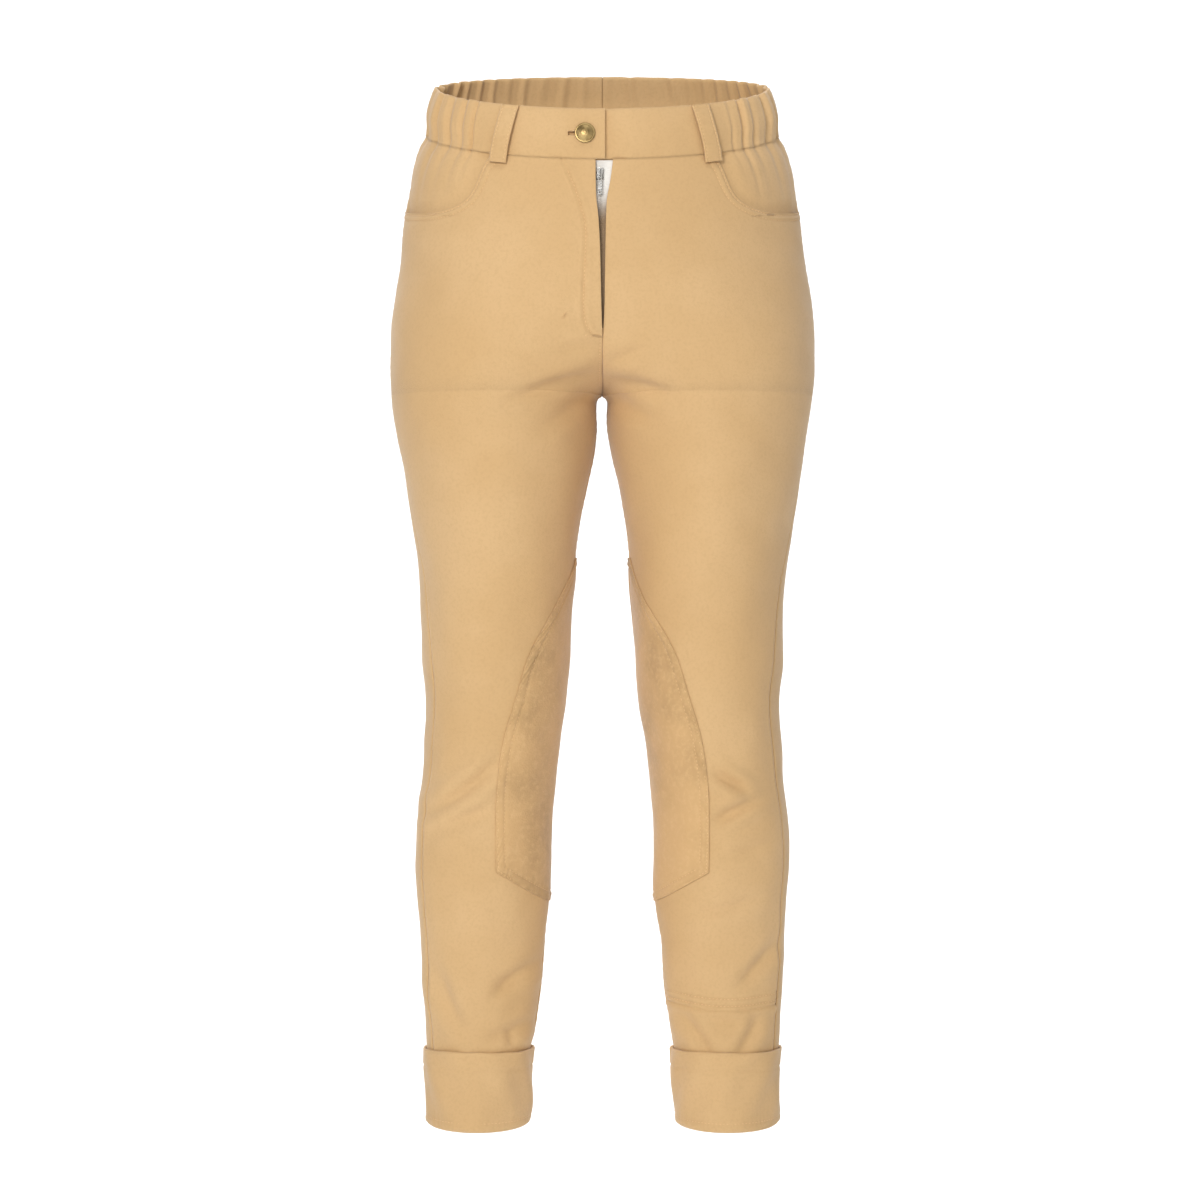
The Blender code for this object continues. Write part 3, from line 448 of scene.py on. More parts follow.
def mesh_from(name, points, quads, triangles, uv):
    """A mesh object whose faces point outwards: the sign of its volume says if they need turning."""
    fan = np.concatenate([quads[:, [0, 1, 2]], quads[:, [0, 2, 3]], triangles])
    if np.einsum("ij,ij->i", points[fan[:, 0]], np.cross(points[fan[:, 1]], points[fan[:, 2]])).sum() < 0:
        quads, triangles = quads[:, ::-1], triangles[:, ::-1]
    corners = np.concatenate([quads.ravel(), triangles.ravel()]).astype(np.int32)
    totals = np.repeat([4, 3], [len(quads), len(triangles)])
    starts = np.concatenate([[0], np.cumsum(totals)[:-1]]).astype(np.int32)
    mesh = bpy.data.meshes.new(name)
    mesh.vertices.add(len(points))
    mesh.vertices.foreach_set("co", points.astype(np.float32).ravel())
    mesh.loops.add(len(corners))
    mesh.loops.foreach_set("vertex_index", corners)
    mesh.polygons.add(len(totals))
    mesh.polygons.foreach_set("loop_start", starts)
    mesh.update(calc_edges=True)
    mesh.uv_layers.new(name="cloth").data.foreach_set("uv", uv[corners].astype(np.float32).ravel())
    mesh.shade_smooth()
    piece = bpy.data.objects.new(name, mesh)
    bpy.context.scene.collection.objects.link(piece)
    return piece


def exact_normals(piece, grid):
    """Normals of a grid's points, the cross product of its two slopes, set on the mesh's first points.

    Blender's own average goes wrong where a grid is sheared, and draws a line there.
    """
    mesh = piece.data
    normals = np.empty(len(mesh.vertices) * 3)
    mesh.vertex_normals.foreach_get("vector", normals)
    normals = normals.reshape(-1, 3)
    size = grid.shape[:2]
    wanted = np.cross(np.gradient(grid, axis=0), np.gradient(grid, axis=1))
    wanted /= np.maximum(np.linalg.norm(wanted, axis=-1, keepdims=True), 1e-12)
    index = first_points(piece, size)
    same = np.sign((normals[index] * wanted).sum(axis=-1, keepdims=True))
    wanted = wanted * np.where(same == 0, 1, same)
    normals[index[1:-1, 1:-1]] = wanted[1:-1, 1:-1]
    mesh.normals_split_custom_set_from_vertices(normals)


def first_points(piece, size):
    """Indices of a loft's outer grid: each ring holds the outer points first."""
    ring = len(piece.data.vertices) // size[0]
    return np.arange(size[0])[:, None] * ring + np.arange(size[1])[None, :]


def loft(name, outer, inner=None, closed=False, uv=None):
    """Rings of outer points and reversed inner points. UV = distances round and along, in metres."""
    rings = outer if inner is None else np.concatenate([outer, inner[:, ::-1]], axis=1)
    count, size = rings.shape[:2]
    index = np.arange(count * size).reshape(count, size)
    if closed:
        index = np.concatenate([index, index[:1]])
    here, there = index[:-1], index[1:]
    quads = np.stack([here, np.roll(here, -1, 1), np.roll(there, -1, 1), there], axis=-1).reshape(-1, 4)
    triangles = np.zeros((0, 3), int)
    if not closed:
        many = outer.shape[1] if inner is not None else size // 2
        few = size - many
        match = np.round(np.linspace(0, few - 1, many)).astype(int)
        for end in (index[0], index[-1]):
            near, far = end[:many], end[::-1][:few]
            strip = np.stack([near[:-1], near[1:], far[match[1:]], far[match[:-1]]], axis=-1)
            strip = strip if end is index[0] else strip[:, ::-1]
            strip = strip[:, ::-1]
            even = match[1:] > match[:-1]
            quads = np.concatenate([quads, strip[even]])
            loose = strip[~even]
            unique = np.array([list(dict.fromkeys(row)) for row in loose.tolist()], int).reshape(-1, 3)
            triangles = np.concatenate([triangles, unique])
    round_it = np.linalg.norm(np.diff(rings, axis=1), axis=-1).mean(axis=0)
    along = np.linalg.norm(np.diff(rings, axis=0), axis=-1).mean(axis=1)
    u = np.concatenate([[0], np.cumsum(round_it)])
    v = np.concatenate([[0], np.cumsum(along)])
    uv = np.stack(np.meshgrid(u, v), axis=-1) if uv is None else uv
    return mesh_from(name, rings.reshape(-1, 3), quads, triangles, uv.reshape(-1, 2))


def tube(name, paths, radius, sides=8):
    """Round bars along paths of points, each (n, 3), closed by their end rings drawn to a point."""
    points, quads, base = [], [], 0
    turn = np.arange(sides) * 2 * math.pi / sides
    for path in paths:
        path = np.asarray(path, float)
        run = np.gradient(path, axis=0)
        run /= np.linalg.norm(run, axis=1, keepdims=True)
        aside = np.cross(run, np.array([0.31, 0.92, 0.24]))
        aside /= np.linalg.norm(aside, axis=1, keepdims=True)
        over = np.cross(run, aside)
        width = np.full(len(path), radius)
        width[[0, -1]] *= 0.05
        ring = np.cos(turn)[None, :, None] * aside[:, None] + np.sin(turn)[None, :, None] * over[:, None]
        points.append((path[:, None] + ring * width[:, None, None]).reshape(-1, 3))
        index = base + np.arange(len(path) * sides).reshape(len(path), sides)
        body = np.stack([index[:-1], np.roll(index[:-1], -1, 1), np.roll(index[1:], -1, 1), index[1:]], axis=-1)
        quads.append(body.reshape(-1, 4))
        flat = np.arange(sides // 2 - 1)
        for end, turned in ((index[0], False), (index[-1], True)):
            cap = np.stack([end[flat], end[sides - 1 - flat], end[sides - 2 - flat], end[flat + 1]], axis=-1)
            quads.append(cap[:, ::-1] if turned else cap)
        base += len(path) * sides
    points, quads = np.concatenate(points), np.concatenate(quads)
    return mesh_from(name, points, quads, np.zeros((0, 3), int), points[:, [0, 2]])


print("mesh builders ready")

# %% [markdown]
# ## Columns and rows of a panel
#
# Sewing shows because cloth is pressed down beside a seam. So a panel's columns stand close together
# near its edges, at set distances from them, and its rows crowd where a seam or a small arch is. An
# even grid fine enough for the seams would be ten times as heavy.

# %% Edges of the pieces
MOUTH_WIDTH, MOUTH_DROP, MOUTH_SLANT = 0.056, POCKET_BOTTOM - BAND_BOTTOM, 13.0
MOUTH_BEND, MOUTH_ROUND, MOUTH_LAP, MOUTH_SEAT = 4.0, 0.45, 0.012, 0.001
FACING_CLOTH, FACING_DEPTH, FACING_SINK, FACING_SIDE = 0.0012, 0.0021, 0.014, 0.012
EDGE_STEPS = np.array([0, 0.5, 1.0, 1.5, 2.0, 2.5, 3.1, 3.8, 4.6, 5.5, 6.4, 7.2, 8.0, 8.8, 9.6, 10.6, 12.0, 13.8]) / 1000


def mouth_x(level):
    """The pocket mouth's edge: x = side - width * (1 - (fall / drop)^bend)^round, straight at its end."""
    fall = np.clip((level - BAND_BOTTOM) / MOUTH_DROP, 0, 1)
    bowed = MOUTH_WIDTH * (1 - fall**MOUTH_BEND) ** MOUTH_ROUND
    return section("outer", level) - np.minimum(bowed, -MOUTH_SLANT * MOUTH_DROP * (1 - fall))


def side_seam(side, level):
    """How far forward of the side the seam runs, as an angle: it turns to the front below the hip."""
    levels = column(SIDE_SEAM, SEAM_COLUMNS, "level")
    shift = column(SIDE_SEAM, SEAM_COLUMNS, "left" if side > 0 else "right")
    return np.maximum(curve_through(levels, shift, level), 0)


def panel_limits(side, front, level):
    """Angles of a panel's two edges at an array of levels: side seam or pocket mouth, then centre."""
    trim = 0.00005 / section("front" if front else "back", level)
    start = trim + side_seam(side, level) * (1 if front else -1)
    if front:
        start = np.where(level > POCKET_BOTTOM, angle_at(mouth_x(level), level), start)
    edge = fly_edge(side, level) if front else np.zeros(level.shape)
    centre = np.minimum(angle_at(edge + SEAM_GAP / 2, level, front), math.pi - trim)
    return start, np.where(level > CROTCH, centre, math.pi - trim)


def spaced_angles(trim, start, end, front, level, near_start, near_end, middle):
    """Angles of a row's columns, from the wanted distances along it, and those distances.

    The inner half of the middle columns is set from the side seam, so it doesn't follow the pocket.
    """
    samples = np.linspace(min(trim, start), end, 700)
    sign = -1 if front else 1
    path = surface(1, sign * samples, np.full(samples.shape, level))
    walked = np.concatenate([[0], np.cumsum(np.linalg.norm(np.diff(path, axis=0), axis=1))])
    length, begin = walked[-1], np.interp(start, samples, walked)
    squeeze = min(1.0, 0.45 * (length - begin) / near_end[-1])
    first, last = begin + near_start * squeeze, length - near_end[::-1] * squeeze
    guide = max(0.68 * length, first[-1] + 0.006)
    outer_part = np.linspace(first[-1], guide, middle // 2 + 1)[1:]
    inner_part = np.linspace(guide, last[0], middle // 2 + 2)[1:-1]
    wanted = np.concatenate([first, outer_part, inner_part, last])
    return sign * np.interp(wanted, walked, samples), wanted - begin, length - wanted


def grid_of(side, front, levels, near_start, near_end, middle):
    """Angles, levels, and distances from both edges, each (rows, columns), for one panel."""
    start, end = panel_limits(side, front, levels)
    trim = SEAM_GAP / 2 / section("front" if front else "back", levels)
    rows = [
        spaced_angles(*limits, front, level, near_start, near_end, middle)
        for *limits, level in zip(trim, start, end, levels)
    ]
    angles, from_start, from_end = (np.array(part) for part in zip(*rows))
    return angles, np.broadcast_to(levels[:, None], angles.shape), from_start, from_end


def mouth_levels(count):
    """Levels at even steps along the pocket mouth, so that its flat lower end keeps its points."""
    top = BAND_BOTTOM - 0.0001
    level = top + (POCKET_BOTTOM - top) * (1 - np.linspace(1, 0, 900) ** 3)
    angle = angle_at(mouth_x(level), level)
    path = surface(1, -angle, level)
    walked = np.concatenate([[0], np.cumsum(np.linalg.norm(np.diff(path, axis=0), axis=1))])
    return np.interp(np.linspace(0, walked[-1], count), walked, level)


def spread(start, end, count):
    return np.linspace(start, end, count, endpoint=False)


CROSS_SEAM = -0.7595
LEG_END = HEM + 0.0020


def panel_levels():
    """Rows closest together at the pocket's lower corner, the crotch and the cross seam."""
    crotch = 0.050 * np.linspace(1, 0, 34)[:-1] ** 1.6
    rows = [
        mouth_levels(58)[:-1],
        spread(POCKET_BOTTOM, POCKET_BOTTOM - 0.010, 14)[:-1],
        spread(POCKET_BOTTOM - 0.010, CROTCH + 0.050, 48),
        CROTCH + crotch,
        np.array([CROTCH]),
        CROTCH - crotch[::-1] * 0.8,
        spread(CROTCH - 0.0405, PATCH_TOP, 38),
        spread(PATCH_TOP, PATCH_BOTTOM, 128),
        spread(PATCH_BOTTOM, CROSS_SEAM + 0.014, 32),
        spread(CROSS_SEAM + 0.014, CROSS_SEAM - 0.008, 24),
        spread(CROSS_SEAM - 0.008, LEG_END, 38),
        np.array([LEG_END]),
    ]
    return np.concatenate(rows)


LEVELS = panel_levels()
print(len(LEVELS), "rows a panel, falling throughout:", bool((np.diff(LEVELS) < 0).all()))

# %% Sewn lines on the panels
MOUTH_FALLS = BAND_BOTTOM + MOUTH_DROP * (1 - np.linspace(1, 0, 40) ** 2.2)
MOUTH_LINE = np.stack([mouth_x(MOUTH_FALLS), MOUTH_FALLS], axis=-1)
FLY_LINE = (
    (-0.0340, -0.0204), (-0.0292, -0.0290), (-0.0232, -0.0450), (-0.0185, -0.0633), (-0.0150, -0.0830),
    (-0.0136, -0.1030), (-0.0142, -0.1300), (-0.0150, -0.1515), (-0.0158, -0.1720), (-0.0150, -0.1830),
    (-0.0128, -0.1905), (-0.0090, -0.1952), (-0.0040, -0.1972), (0.0000, -0.1975),
)


def path_distance(x, level, path):
    """Least distance from points to a path of straight pieces, in the plane of x and level."""
    path = np.asarray(path, float)
    best = np.full(np.shape(x), 1.0)
    for start, end in zip(path[:-1], path[1:]):
        run = end - start
        t = np.clip(((x - start[0]) * run[0] + (level - start[1]) * run[1]) / (run @ run), 0, 1)
        best = np.minimum(best, np.hypot(x - start[0] - t * run[0], level - start[1] - t * run[1]))
    return best


def pressed(distance, at=0.0, depth=0.00040, width=0.0008):
    """A line of stitches draws the cloth in: -depth * exp(-((distance - at) / width)^2)."""
    return -depth * np.exp(-(((distance - at) / width) ** 2))


def turned_in(distance, depth=0.0007, width=0.0009):
    """The cloth rolls inwards at its edge: -depth * exp(-distance / width)."""
    return -depth * np.exp(-distance / width)


def puckers(along, distance, width=0.006, pitch=0.0085, height=0.00022):
    """Small ripples across a seam, uneven along it, fading away from it."""
    wave = np.sin(2 * math.pi * along / pitch + 2.2 * np.sin(along * 61)) * (0.6 + 0.4 * np.sin(along * 173 + 1))
    return height * wave * np.exp(-((distance / width) ** 2))


def window(level, top, bottom, soft=0.004):
    """1 between two levels and 0 outside them."""
    return smooth(top + soft, top, level) * smooth(bottom - soft, bottom, level)


def cross_seam(x):
    """The seam across the left shin sags between the leg's two edges."""
    return CROSS_SEAM + 0.0045 * ((np.abs(x) - 0.107) / 0.045) ** 2


def sewing(side, front, angles, level, from_start, from_end):
    """Everything that sewing does to a panel's height."""
    x = across(angles, level) * side
    pocket = window(level, 0.0, POCKET_BOTTOM, 0.0015) if front else np.zeros(level.shape)
    mouth_edge = path_distance(np.abs(x), level, MOUTH_LINE) if front else 1.0
    fly = window(level, 0.0, FLY_BOTTOM) if front else np.zeros(level.shape)
    rise = (level > CROTCH) * (1 - fly)
    low = smooth(-0.36, -0.42, level) if front else 0.0
    height = turned_in(from_start) + turned_in(from_end) * (1 - 0.4 * fly) + low * turned_in(from_start, 0.0008, 0.0016)
    height = height + low * (0.0004 * np.exp(-(((from_start - 0.0045) / 0.0025) ** 2)))
    height = height + pressed(mouth_edge, 0.0020, 0.0006, 0.0009) + pressed(mouth_edge, 0.0068, 0.0006, 0.0010)
    height = height + 0.0005 * smooth(0.0085, 0.0062, mouth_edge)
    height += puckers(level, from_start) * (1 - 0.4 * pocket) + puckers(level * 1.1 + 0.3, from_end) * (1 - fly)
    height += rise * (side < 0) * (pressed(from_end, 0.0020, 0.0003) + 0.0002 * smooth(0.0035, 0.0015, from_end))
    if front and side < 0:
        line = path_distance(x, level, FLY_LINE)
        height += pressed(line, 0, 0.00100, 0.0013) + 0.0007 * np.exp(-(((line - 0.0035) / 0.0026) ** 2)) * fly
        height += puckers(level + 0.4 * x, line, 0.005, 0.011, 0.00025)
        inside = smooth(0.004, -0.001, line - 0.002) + (np.abs(x) < np.interp(-level, [-p[1] for p in FLY_LINE], [-p[0] for p in FLY_LINE]))
        height += 0.00025 * np.clip(inside, 0, 1) * fly
    if front and side > 0:
        cross = level - cross_seam(x)
        height += pressed(cross, 0, 0.0010, 0.0009) + pressed(cross, 0.0040, 0.0006, 0.0009) + pressed(cross, 0.0100, 0.0005, 0.0010)
        height += 0.0009 * np.exp(-(((cross + 0.0035) / 0.0030) ** 2)) + puckers(x, cross - 0.004, 0.007, 0.010, 0.00035)
    return height


# %% Fronts and backs


def meet_at_seams(side, front, outer, level):
    """Edge columns stand on the seam's own plane, so that no light comes through a sewn seam."""
    hair = 0.000004
    rise = (level[:, -1] >= CROTCH) & ((level[:, -1] < FLY_BOTTOM) | (not front))
    outer[rise, -1, 0] = side * hair
    leg = level[:, -1] <= CROTCH
    outer[leg, -1, 1] = -hair if front else hair
    return outer


def make_panel(side, front):
    """Outer points on a fine grid and inner points on a coarse one, from the same surface."""
    fine = EDGE_STEPS
    centre = np.concatenate([fine, spread(0.0150, 0.0360, 17)]) if front and side < 0 else fine
    angles, level, from_start, from_end = grid_of(side, front, LEVELS, fine, centre, 66)
    height = sewing(side, front, angles, level, from_start, from_end)
    outer = meet_at_seams(side, front, cloth(side, angles, level, height), level)
    pick = np.unique(np.round(np.linspace(0, angles.shape[1] - 1, 46)).astype(int))
    lining = -PANEL_CLOTH + 0.3 * height[:, pick]
    inner = cloth(side, angles[:, pick], level[:, pick], lining)
    name = ("front_cloth_" if front else "back_cloth_") + SIDE_NAMES[side]
    u = np.concatenate([from_end, from_end[:, pick[::-1]]], axis=1)
    piece = loft(name, outer, inner, uv=np.stack([u, np.broadcast_to(-LEVELS[:, None], u.shape)], axis=-1))
    if front:
        exact_normals(piece, outer)
    return piece


SIDE_NAMES = {1: "left", -1: "right"}
PANELS = {(side, front): make_panel(side, front) for side in (1, -1) for front in (True, False)}
for piece in PANELS.values():
    print(piece.name, len(piece.data.polygons), "faces")

# %% [markdown]
# ## Pocket facings
#
# The pocket's mouth is a curve cut out of the front. What shows behind it is a separate facing that
# joins the side seam and the waist seam and goes down behind the mouth. It sinks there by the
# thickness of both cloths, which is what gives the mouth its shadow.

# %% Pocket facings


def make_facing(side):
    bottom = POCKET_BOTTOM - MOUTH_LAP + 2 * MOUTH_SEAT
    levels = np.concatenate([mouth_levels(60), np.linspace(POCKET_BOTTOM - SEAM_GAP, bottom, 8)])
    falls = BAND_BOTTOM + MOUTH_DROP * (1 - np.linspace(1, 0, 90) ** 2.2)
    mouth_points = np.stack([mouth_x(falls), falls], axis=-1)
    edge = mouth_x(np.minimum(levels + MOUTH_LAP, BAND_BOTTOM)) - MOUTH_LAP
    start = SEAM_GAP / 2 / section("front", levels)
    far = angle_at(edge, levels)
    share = np.linspace(0, 1, 72) ** 0.9
    angles = -(start[:, None] + (far - start)[:, None] * share)
    level = np.broadcast_to(levels[:, None], angles.shape)
    x = across(angles, level)
    away = np.min(np.hypot(x[..., None] - mouth_points[:, 0], level[..., None] - mouth_points[:, 1]), axis=-1)
    seen = (x > mouth_x(level)) & (level > POCKET_BOTTOM)
    from_side = np.linalg.norm(surface(1, angles, level) - surface(1, angles[:, :1], level[:, :1]), axis=-1)
    sunk = (1 - smooth(3 * MOUTH_SEAT, FACING_SINK, away)) * smooth(0, FACING_SIDE, from_side)
    depth = FACING_DEPTH * np.where(seen, sunk, 1)
    height = -depth + turned_in(from_side) + puckers(level, from_side)
    outer = cloth(side, angles, level, height)
    inner = cloth(side, angles[:, ::2], level[:, ::2], -depth[:, ::2] - FACING_CLOTH)
    return loft("pocket_facing_cloth_" + SIDE_NAMES[side], outer, inner)


FACINGS = {side: make_facing(side) for side in (1, -1)}
print([piece.name for piece in FACINGS.values()])

# %% [markdown]
# ## Waistband
#
# The band is folded over the top: plain in front between the belt loops, and drawn up by elastic
# round the sides and back. The ridges are a power of a sine, with rounded crests and narrow
# valleys, and their spacing and height wander so that no two are alike.

# %% Waistband
BAND_WALL = (
    (0.0004, -0.0204), (0.0009, -0.0192), (0.0012, -0.0070), (0.0012, 0.0080), (0.0009, 0.0172), (0.0002, 0.0199),
    (-0.0009, 0.0206), (-0.0020, 0.0199), (-0.0025, 0.0176), (-0.0026, 0.0000), (-0.0025, -0.0192), (-0.0021, -0.0204),
)
UNDERLAP_END, OVERLAP_END = -0.034, 0.0021
UNDERLAP_DEPTH, UNDERLAP_RAMP = 0.0037, (0.005, 0.026)
BUTTONHOLE_X = (-0.0285, -0.0125)


def band_wall(count=40):
    """The wall of the band as (out, level) at even steps round it."""
    wall = np.array(BAND_WALL)
    walked = np.concatenate([[0], np.cumsum(np.hypot(*np.diff(wall, axis=0).T))])
    steps = np.linspace(0, walked[-1], count)
    return np.interp(steps, walked, wall[:, 0]), np.interp(steps, walked, wall[:, 1])


def make_band(side):
    end_x = UNDERLAP_END if side > 0 else -OVERLAP_END
    wall_out, wall_level = band_wall()
    front_end, back_end = -float(angle_at(end_x, 0.0)), float(angle_at(SEAM_GAP / 2, 0.0, False))
    plain = np.linspace(front_end, GATHER_START, 70, endpoint=False)
    angle = np.concatenate([plain, np.linspace(GATHER_START, back_end, 340)])[:, None]
    stretch = np.where(
        angle < 0,
        -angle_at(end_x, wall_level) / front_end,
        angle_at(SEAM_GAP / 2, wall_level, False) / back_end,
    )
    level = np.broadcast_to(wall_level, stretch.shape)
    gathers = np.where(angle >= GATHER_START, gather_height(side, angle, level), 0)
    height = wall_out + gathers
    level = level + 0.35 * gathers * smooth(0.0, 0.015, level)
    outside = (np.arange(len(wall_out)) < len(wall_out) / 2)[None, :]
    edge = np.minimum(level - BAND_BOTTOM, -BAND_BOTTOM - level + 0.0002)
    height = height + np.where(outside, pressed(edge, 0.0022, 0.00035) + 0.00012 * np.sin(41 * angle + 150 * level), 0)
    if side > 0:
        x = section("outer", 0.0) * np.cos(angle)
        height = height - np.where(angle < 0, UNDERLAP_DEPTH * (1 - smooth(*UNDERLAP_RAMP, x)), 0)
    else:
        x = -section("outer", 0.0) * np.cos(angle)
        hole = np.hypot(np.maximum(np.abs(x - sum(BUTTONHOLE_X) / 2) - 0.0078, 0), level)
        height = height + np.where(outside & (angle < 0), pressed(hole, 0.0016, 0.0004), 0)
    return loft("waistband_cloth_" + SIDE_NAMES[side], surface_out(side, angle * stretch, level, height))


def surface_out(side, angles, level, height):
    return surface(side, angles, level) + outward(side, angles, level) * (relief(side, angles, level) + height)[..., None]


BANDS = {side: make_band(side) for side in (1, -1)}
print([len(piece.data.polygons) for piece in BANDS.values()])

# %% Buttonhole
BUTTONHOLE_HEIGHT = 0.0030
SEWN = []


def plain_object(name, points, faces):
    mesh = bpy.data.meshes.new(name)
    mesh.from_pydata(points, [], faces)
    piece = bpy.data.objects.new(name, mesh)
    bpy.context.scene.collection.objects.link(piece)
    return piece


def box_object(name, middle, size):
    corners = [[(x - 0.5) * size[0], (y - 0.5) * size[1], (z - 0.5) * size[2]] for x in (0, 1) for y in (0, 1) for z in (0, 1)]
    faces = [(0, 1, 3, 2), (4, 6, 7, 5), (0, 4, 5, 1), (2, 3, 7, 6), (0, 2, 6, 4), (1, 5, 7, 3)]
    return plain_object(name, np.array(corners) + np.array(middle), faces)


def carve(piece, cutter):
    """Takes the cutter's shape out of the piece for good, then removes the cutter."""
    cut = piece.modifiers.new("cut", "BOOLEAN")
    cut.operation, cut.solver, cut.object = "DIFFERENCE", "EXACT", cutter
    graph = bpy.context.evaluated_depsgraph_get()
    mesh = bpy.data.meshes.new_from_object(piece.evaluated_get(graph))
    piece.modifiers.clear()
    piece.data = mesh
    bpy.data.objects.remove(cutter, do_unlink=True)


hole_x = -sum(BUTTONHOLE_X) / 2
hole_middle = cloth(-1, -angle_at(hole_x, 0.0), 0.0)
carve(BANDS[-1], box_object("slit", hole_middle, (BUTTONHOLE_X[1] - BUTTONHOLE_X[0], 0.030, BUTTONHOLE_HEIGHT)))
print("buttonhole at", hole_middle.round(4))

# %% [markdown]
# ## Belt loops
#
# A belt loop is a folded strip, sewn down at its two ends and standing off the band between them.
# Its thickness swells a little towards both edges, where the cloth is doubled.

# %% Belt loops
LOOP_WIDTH, LOOP_CLOTH, LOOP_TOP, LOOP_BOTTOM = 0.0140, 0.0018, 0.0196, -0.0272
LOOP_LEAN = {1: (0.0799, 0.0914), -1: (0.0754, 0.0861)}
LOOP_SEAT, LOOP_STAND = 0.0014, 0.0034


def make_loop(name, side, front, leans):
    share = np.linspace(0, 1, 60)[:, None]
    level = LOOP_TOP + (LOOP_BOTTOM - LOOP_TOP) * share
    part = np.linspace(-0.5, 0.5, 26)
    x = leans[0] + (leans[1] - leans[0]) * share + LOOP_WIDTH * part * (1 - 0.05 * np.sin(math.pi * share))
    level = np.broadcast_to(level, x.shape)
    sign = -1 if front else 1
    angles = sign * angle_at(np.abs(x), level, front)
    under = LOOP_SEAT + LOOP_STAND * np.sin(math.pi * share) ** 0.6
    edge = (0.5 - np.abs(part)) * LOOP_WIDTH
    ends = np.minimum(share, 1 - share) * (LOOP_TOP - LOOP_BOTTOM)
    swell = pressed(edge, 0.0021, 0.00035, 0.0006) - 0.0007 * np.exp(-edge / 0.0005) + pressed(ends, 0.0030, 0.0005, 0.0006)
    swell = swell + 0.00015 * np.sin(level * 700 + 3 * part)
    rows = []
    for out in (under + LOOP_CLOTH + swell, under + 0 * swell):
        left, right = (surface_out(half, angles, level, out) for half in (1, -1))
        rows.append(np.where((x * side > 0)[..., None], left, right))
    for share_across in (0.13, 0.87):
        SEWN.append((name.replace("_cloth", ""), rows[0][2:-2, round(share_across * 25)] + 0))
    return loft(name, rows[0], rows[1])


LOOPS = {
    "belt_loop_left": make_loop("belt_loop_cloth_left", 1, True, LOOP_LEAN[1]),
    "belt_loop_right": make_loop("belt_loop_cloth_right", -1, True, LOOP_LEAN[-1]),
    "belt_loop_back": make_loop("belt_loop_cloth_back", 1, False, (0.0, 0.0)),
}
print(list(LOOPS))

# %% [markdown]
# ## Knee patches
#
# Each patch wraps the inside of the knee from the front edge, round the inseam, to the back edge. It
# lies on the leg, so it takes the same folds, with two rows of stitches near its edge. Its corner
# points are drawn as one closed outline and the grid is stretched to it.

# %% Knee patches
LAY_GAP, PATCH_CLOTH = 0.0003, 0.0008


def patch_half(level):
    """Half width of the patch as an angle from the inseam."""
    levels = column(PATCH, PATCH_COLUMNS, "level")
    return math.pi * (1 - curve_through(levels, column(PATCH, PATCH_COLUMNS, "share"), level))


def patch_grid(rows=160, columns=116):
    """Angles past the back face and levels: seen from the front, the lower edge is a straight line."""
    part = np.linspace(-1, 1, columns)[None, :]
    part = np.sign(part) * (1 - (1 - np.abs(part)) ** 1.25)
    down = np.linspace(0, 1, rows)[:, None]
    down = 0.5 - 0.5 * np.cos(math.pi * (0.06 + 0.88 * down)) / math.cos(math.pi * 0.06)
    half = float(patch_half(np.array([PATCH_CORNER]))[0])
    in_view = (np.cos(part * half) - np.cos(half)) / (1 - np.cos(half))
    lower = PATCH_CORNER + (PATCH_BOTTOM - PATCH_CORNER) * in_view
    level = PATCH_TOP + (lower - PATCH_TOP) * np.clip(down, 0, 1)
    return math.pi + part * patch_half(level), level, part


def round_inseam(side, angles, level, height):
    """Points for angles that run on past the inseam: beyond pi they lie on the front face."""
    back = surface_out(side, np.minimum(angles, math.pi), level, height)
    front = surface_out(side, np.minimum(angles - 2 * math.pi, -1e-6), level, height)
    return np.where((angles > math.pi)[..., None], front, back)


def contours(grid, away, value):
    """Lines of points where a grid's distance from its rim has one value: two long ones and a lower one."""
    lines = []
    for points, field in ((grid, away), (grid[:, ::-1], away[:, ::-1]), (grid[::-1].swapaxes(0, 1), away[::-1].T)):
        inside = (field > value).any(axis=1)
        last = np.argmax(field > value, axis=1)
        keep = np.flatnonzero(inside & (last > 0))
        here, there = field[keep, last[keep] - 1], field[keep, last[keep]]
        share = ((value - here) / (there - here))[:, None]
        line = points[keep, last[keep] - 1] * (1 - share) + points[keep, last[keep]] * share
        step = np.linalg.norm(np.diff(line, axis=0), axis=1)
        lines.append(line[: len(line) if step.max() < 0.012 else int(np.argmax(step >= 0.012)) + 1])
    return lines


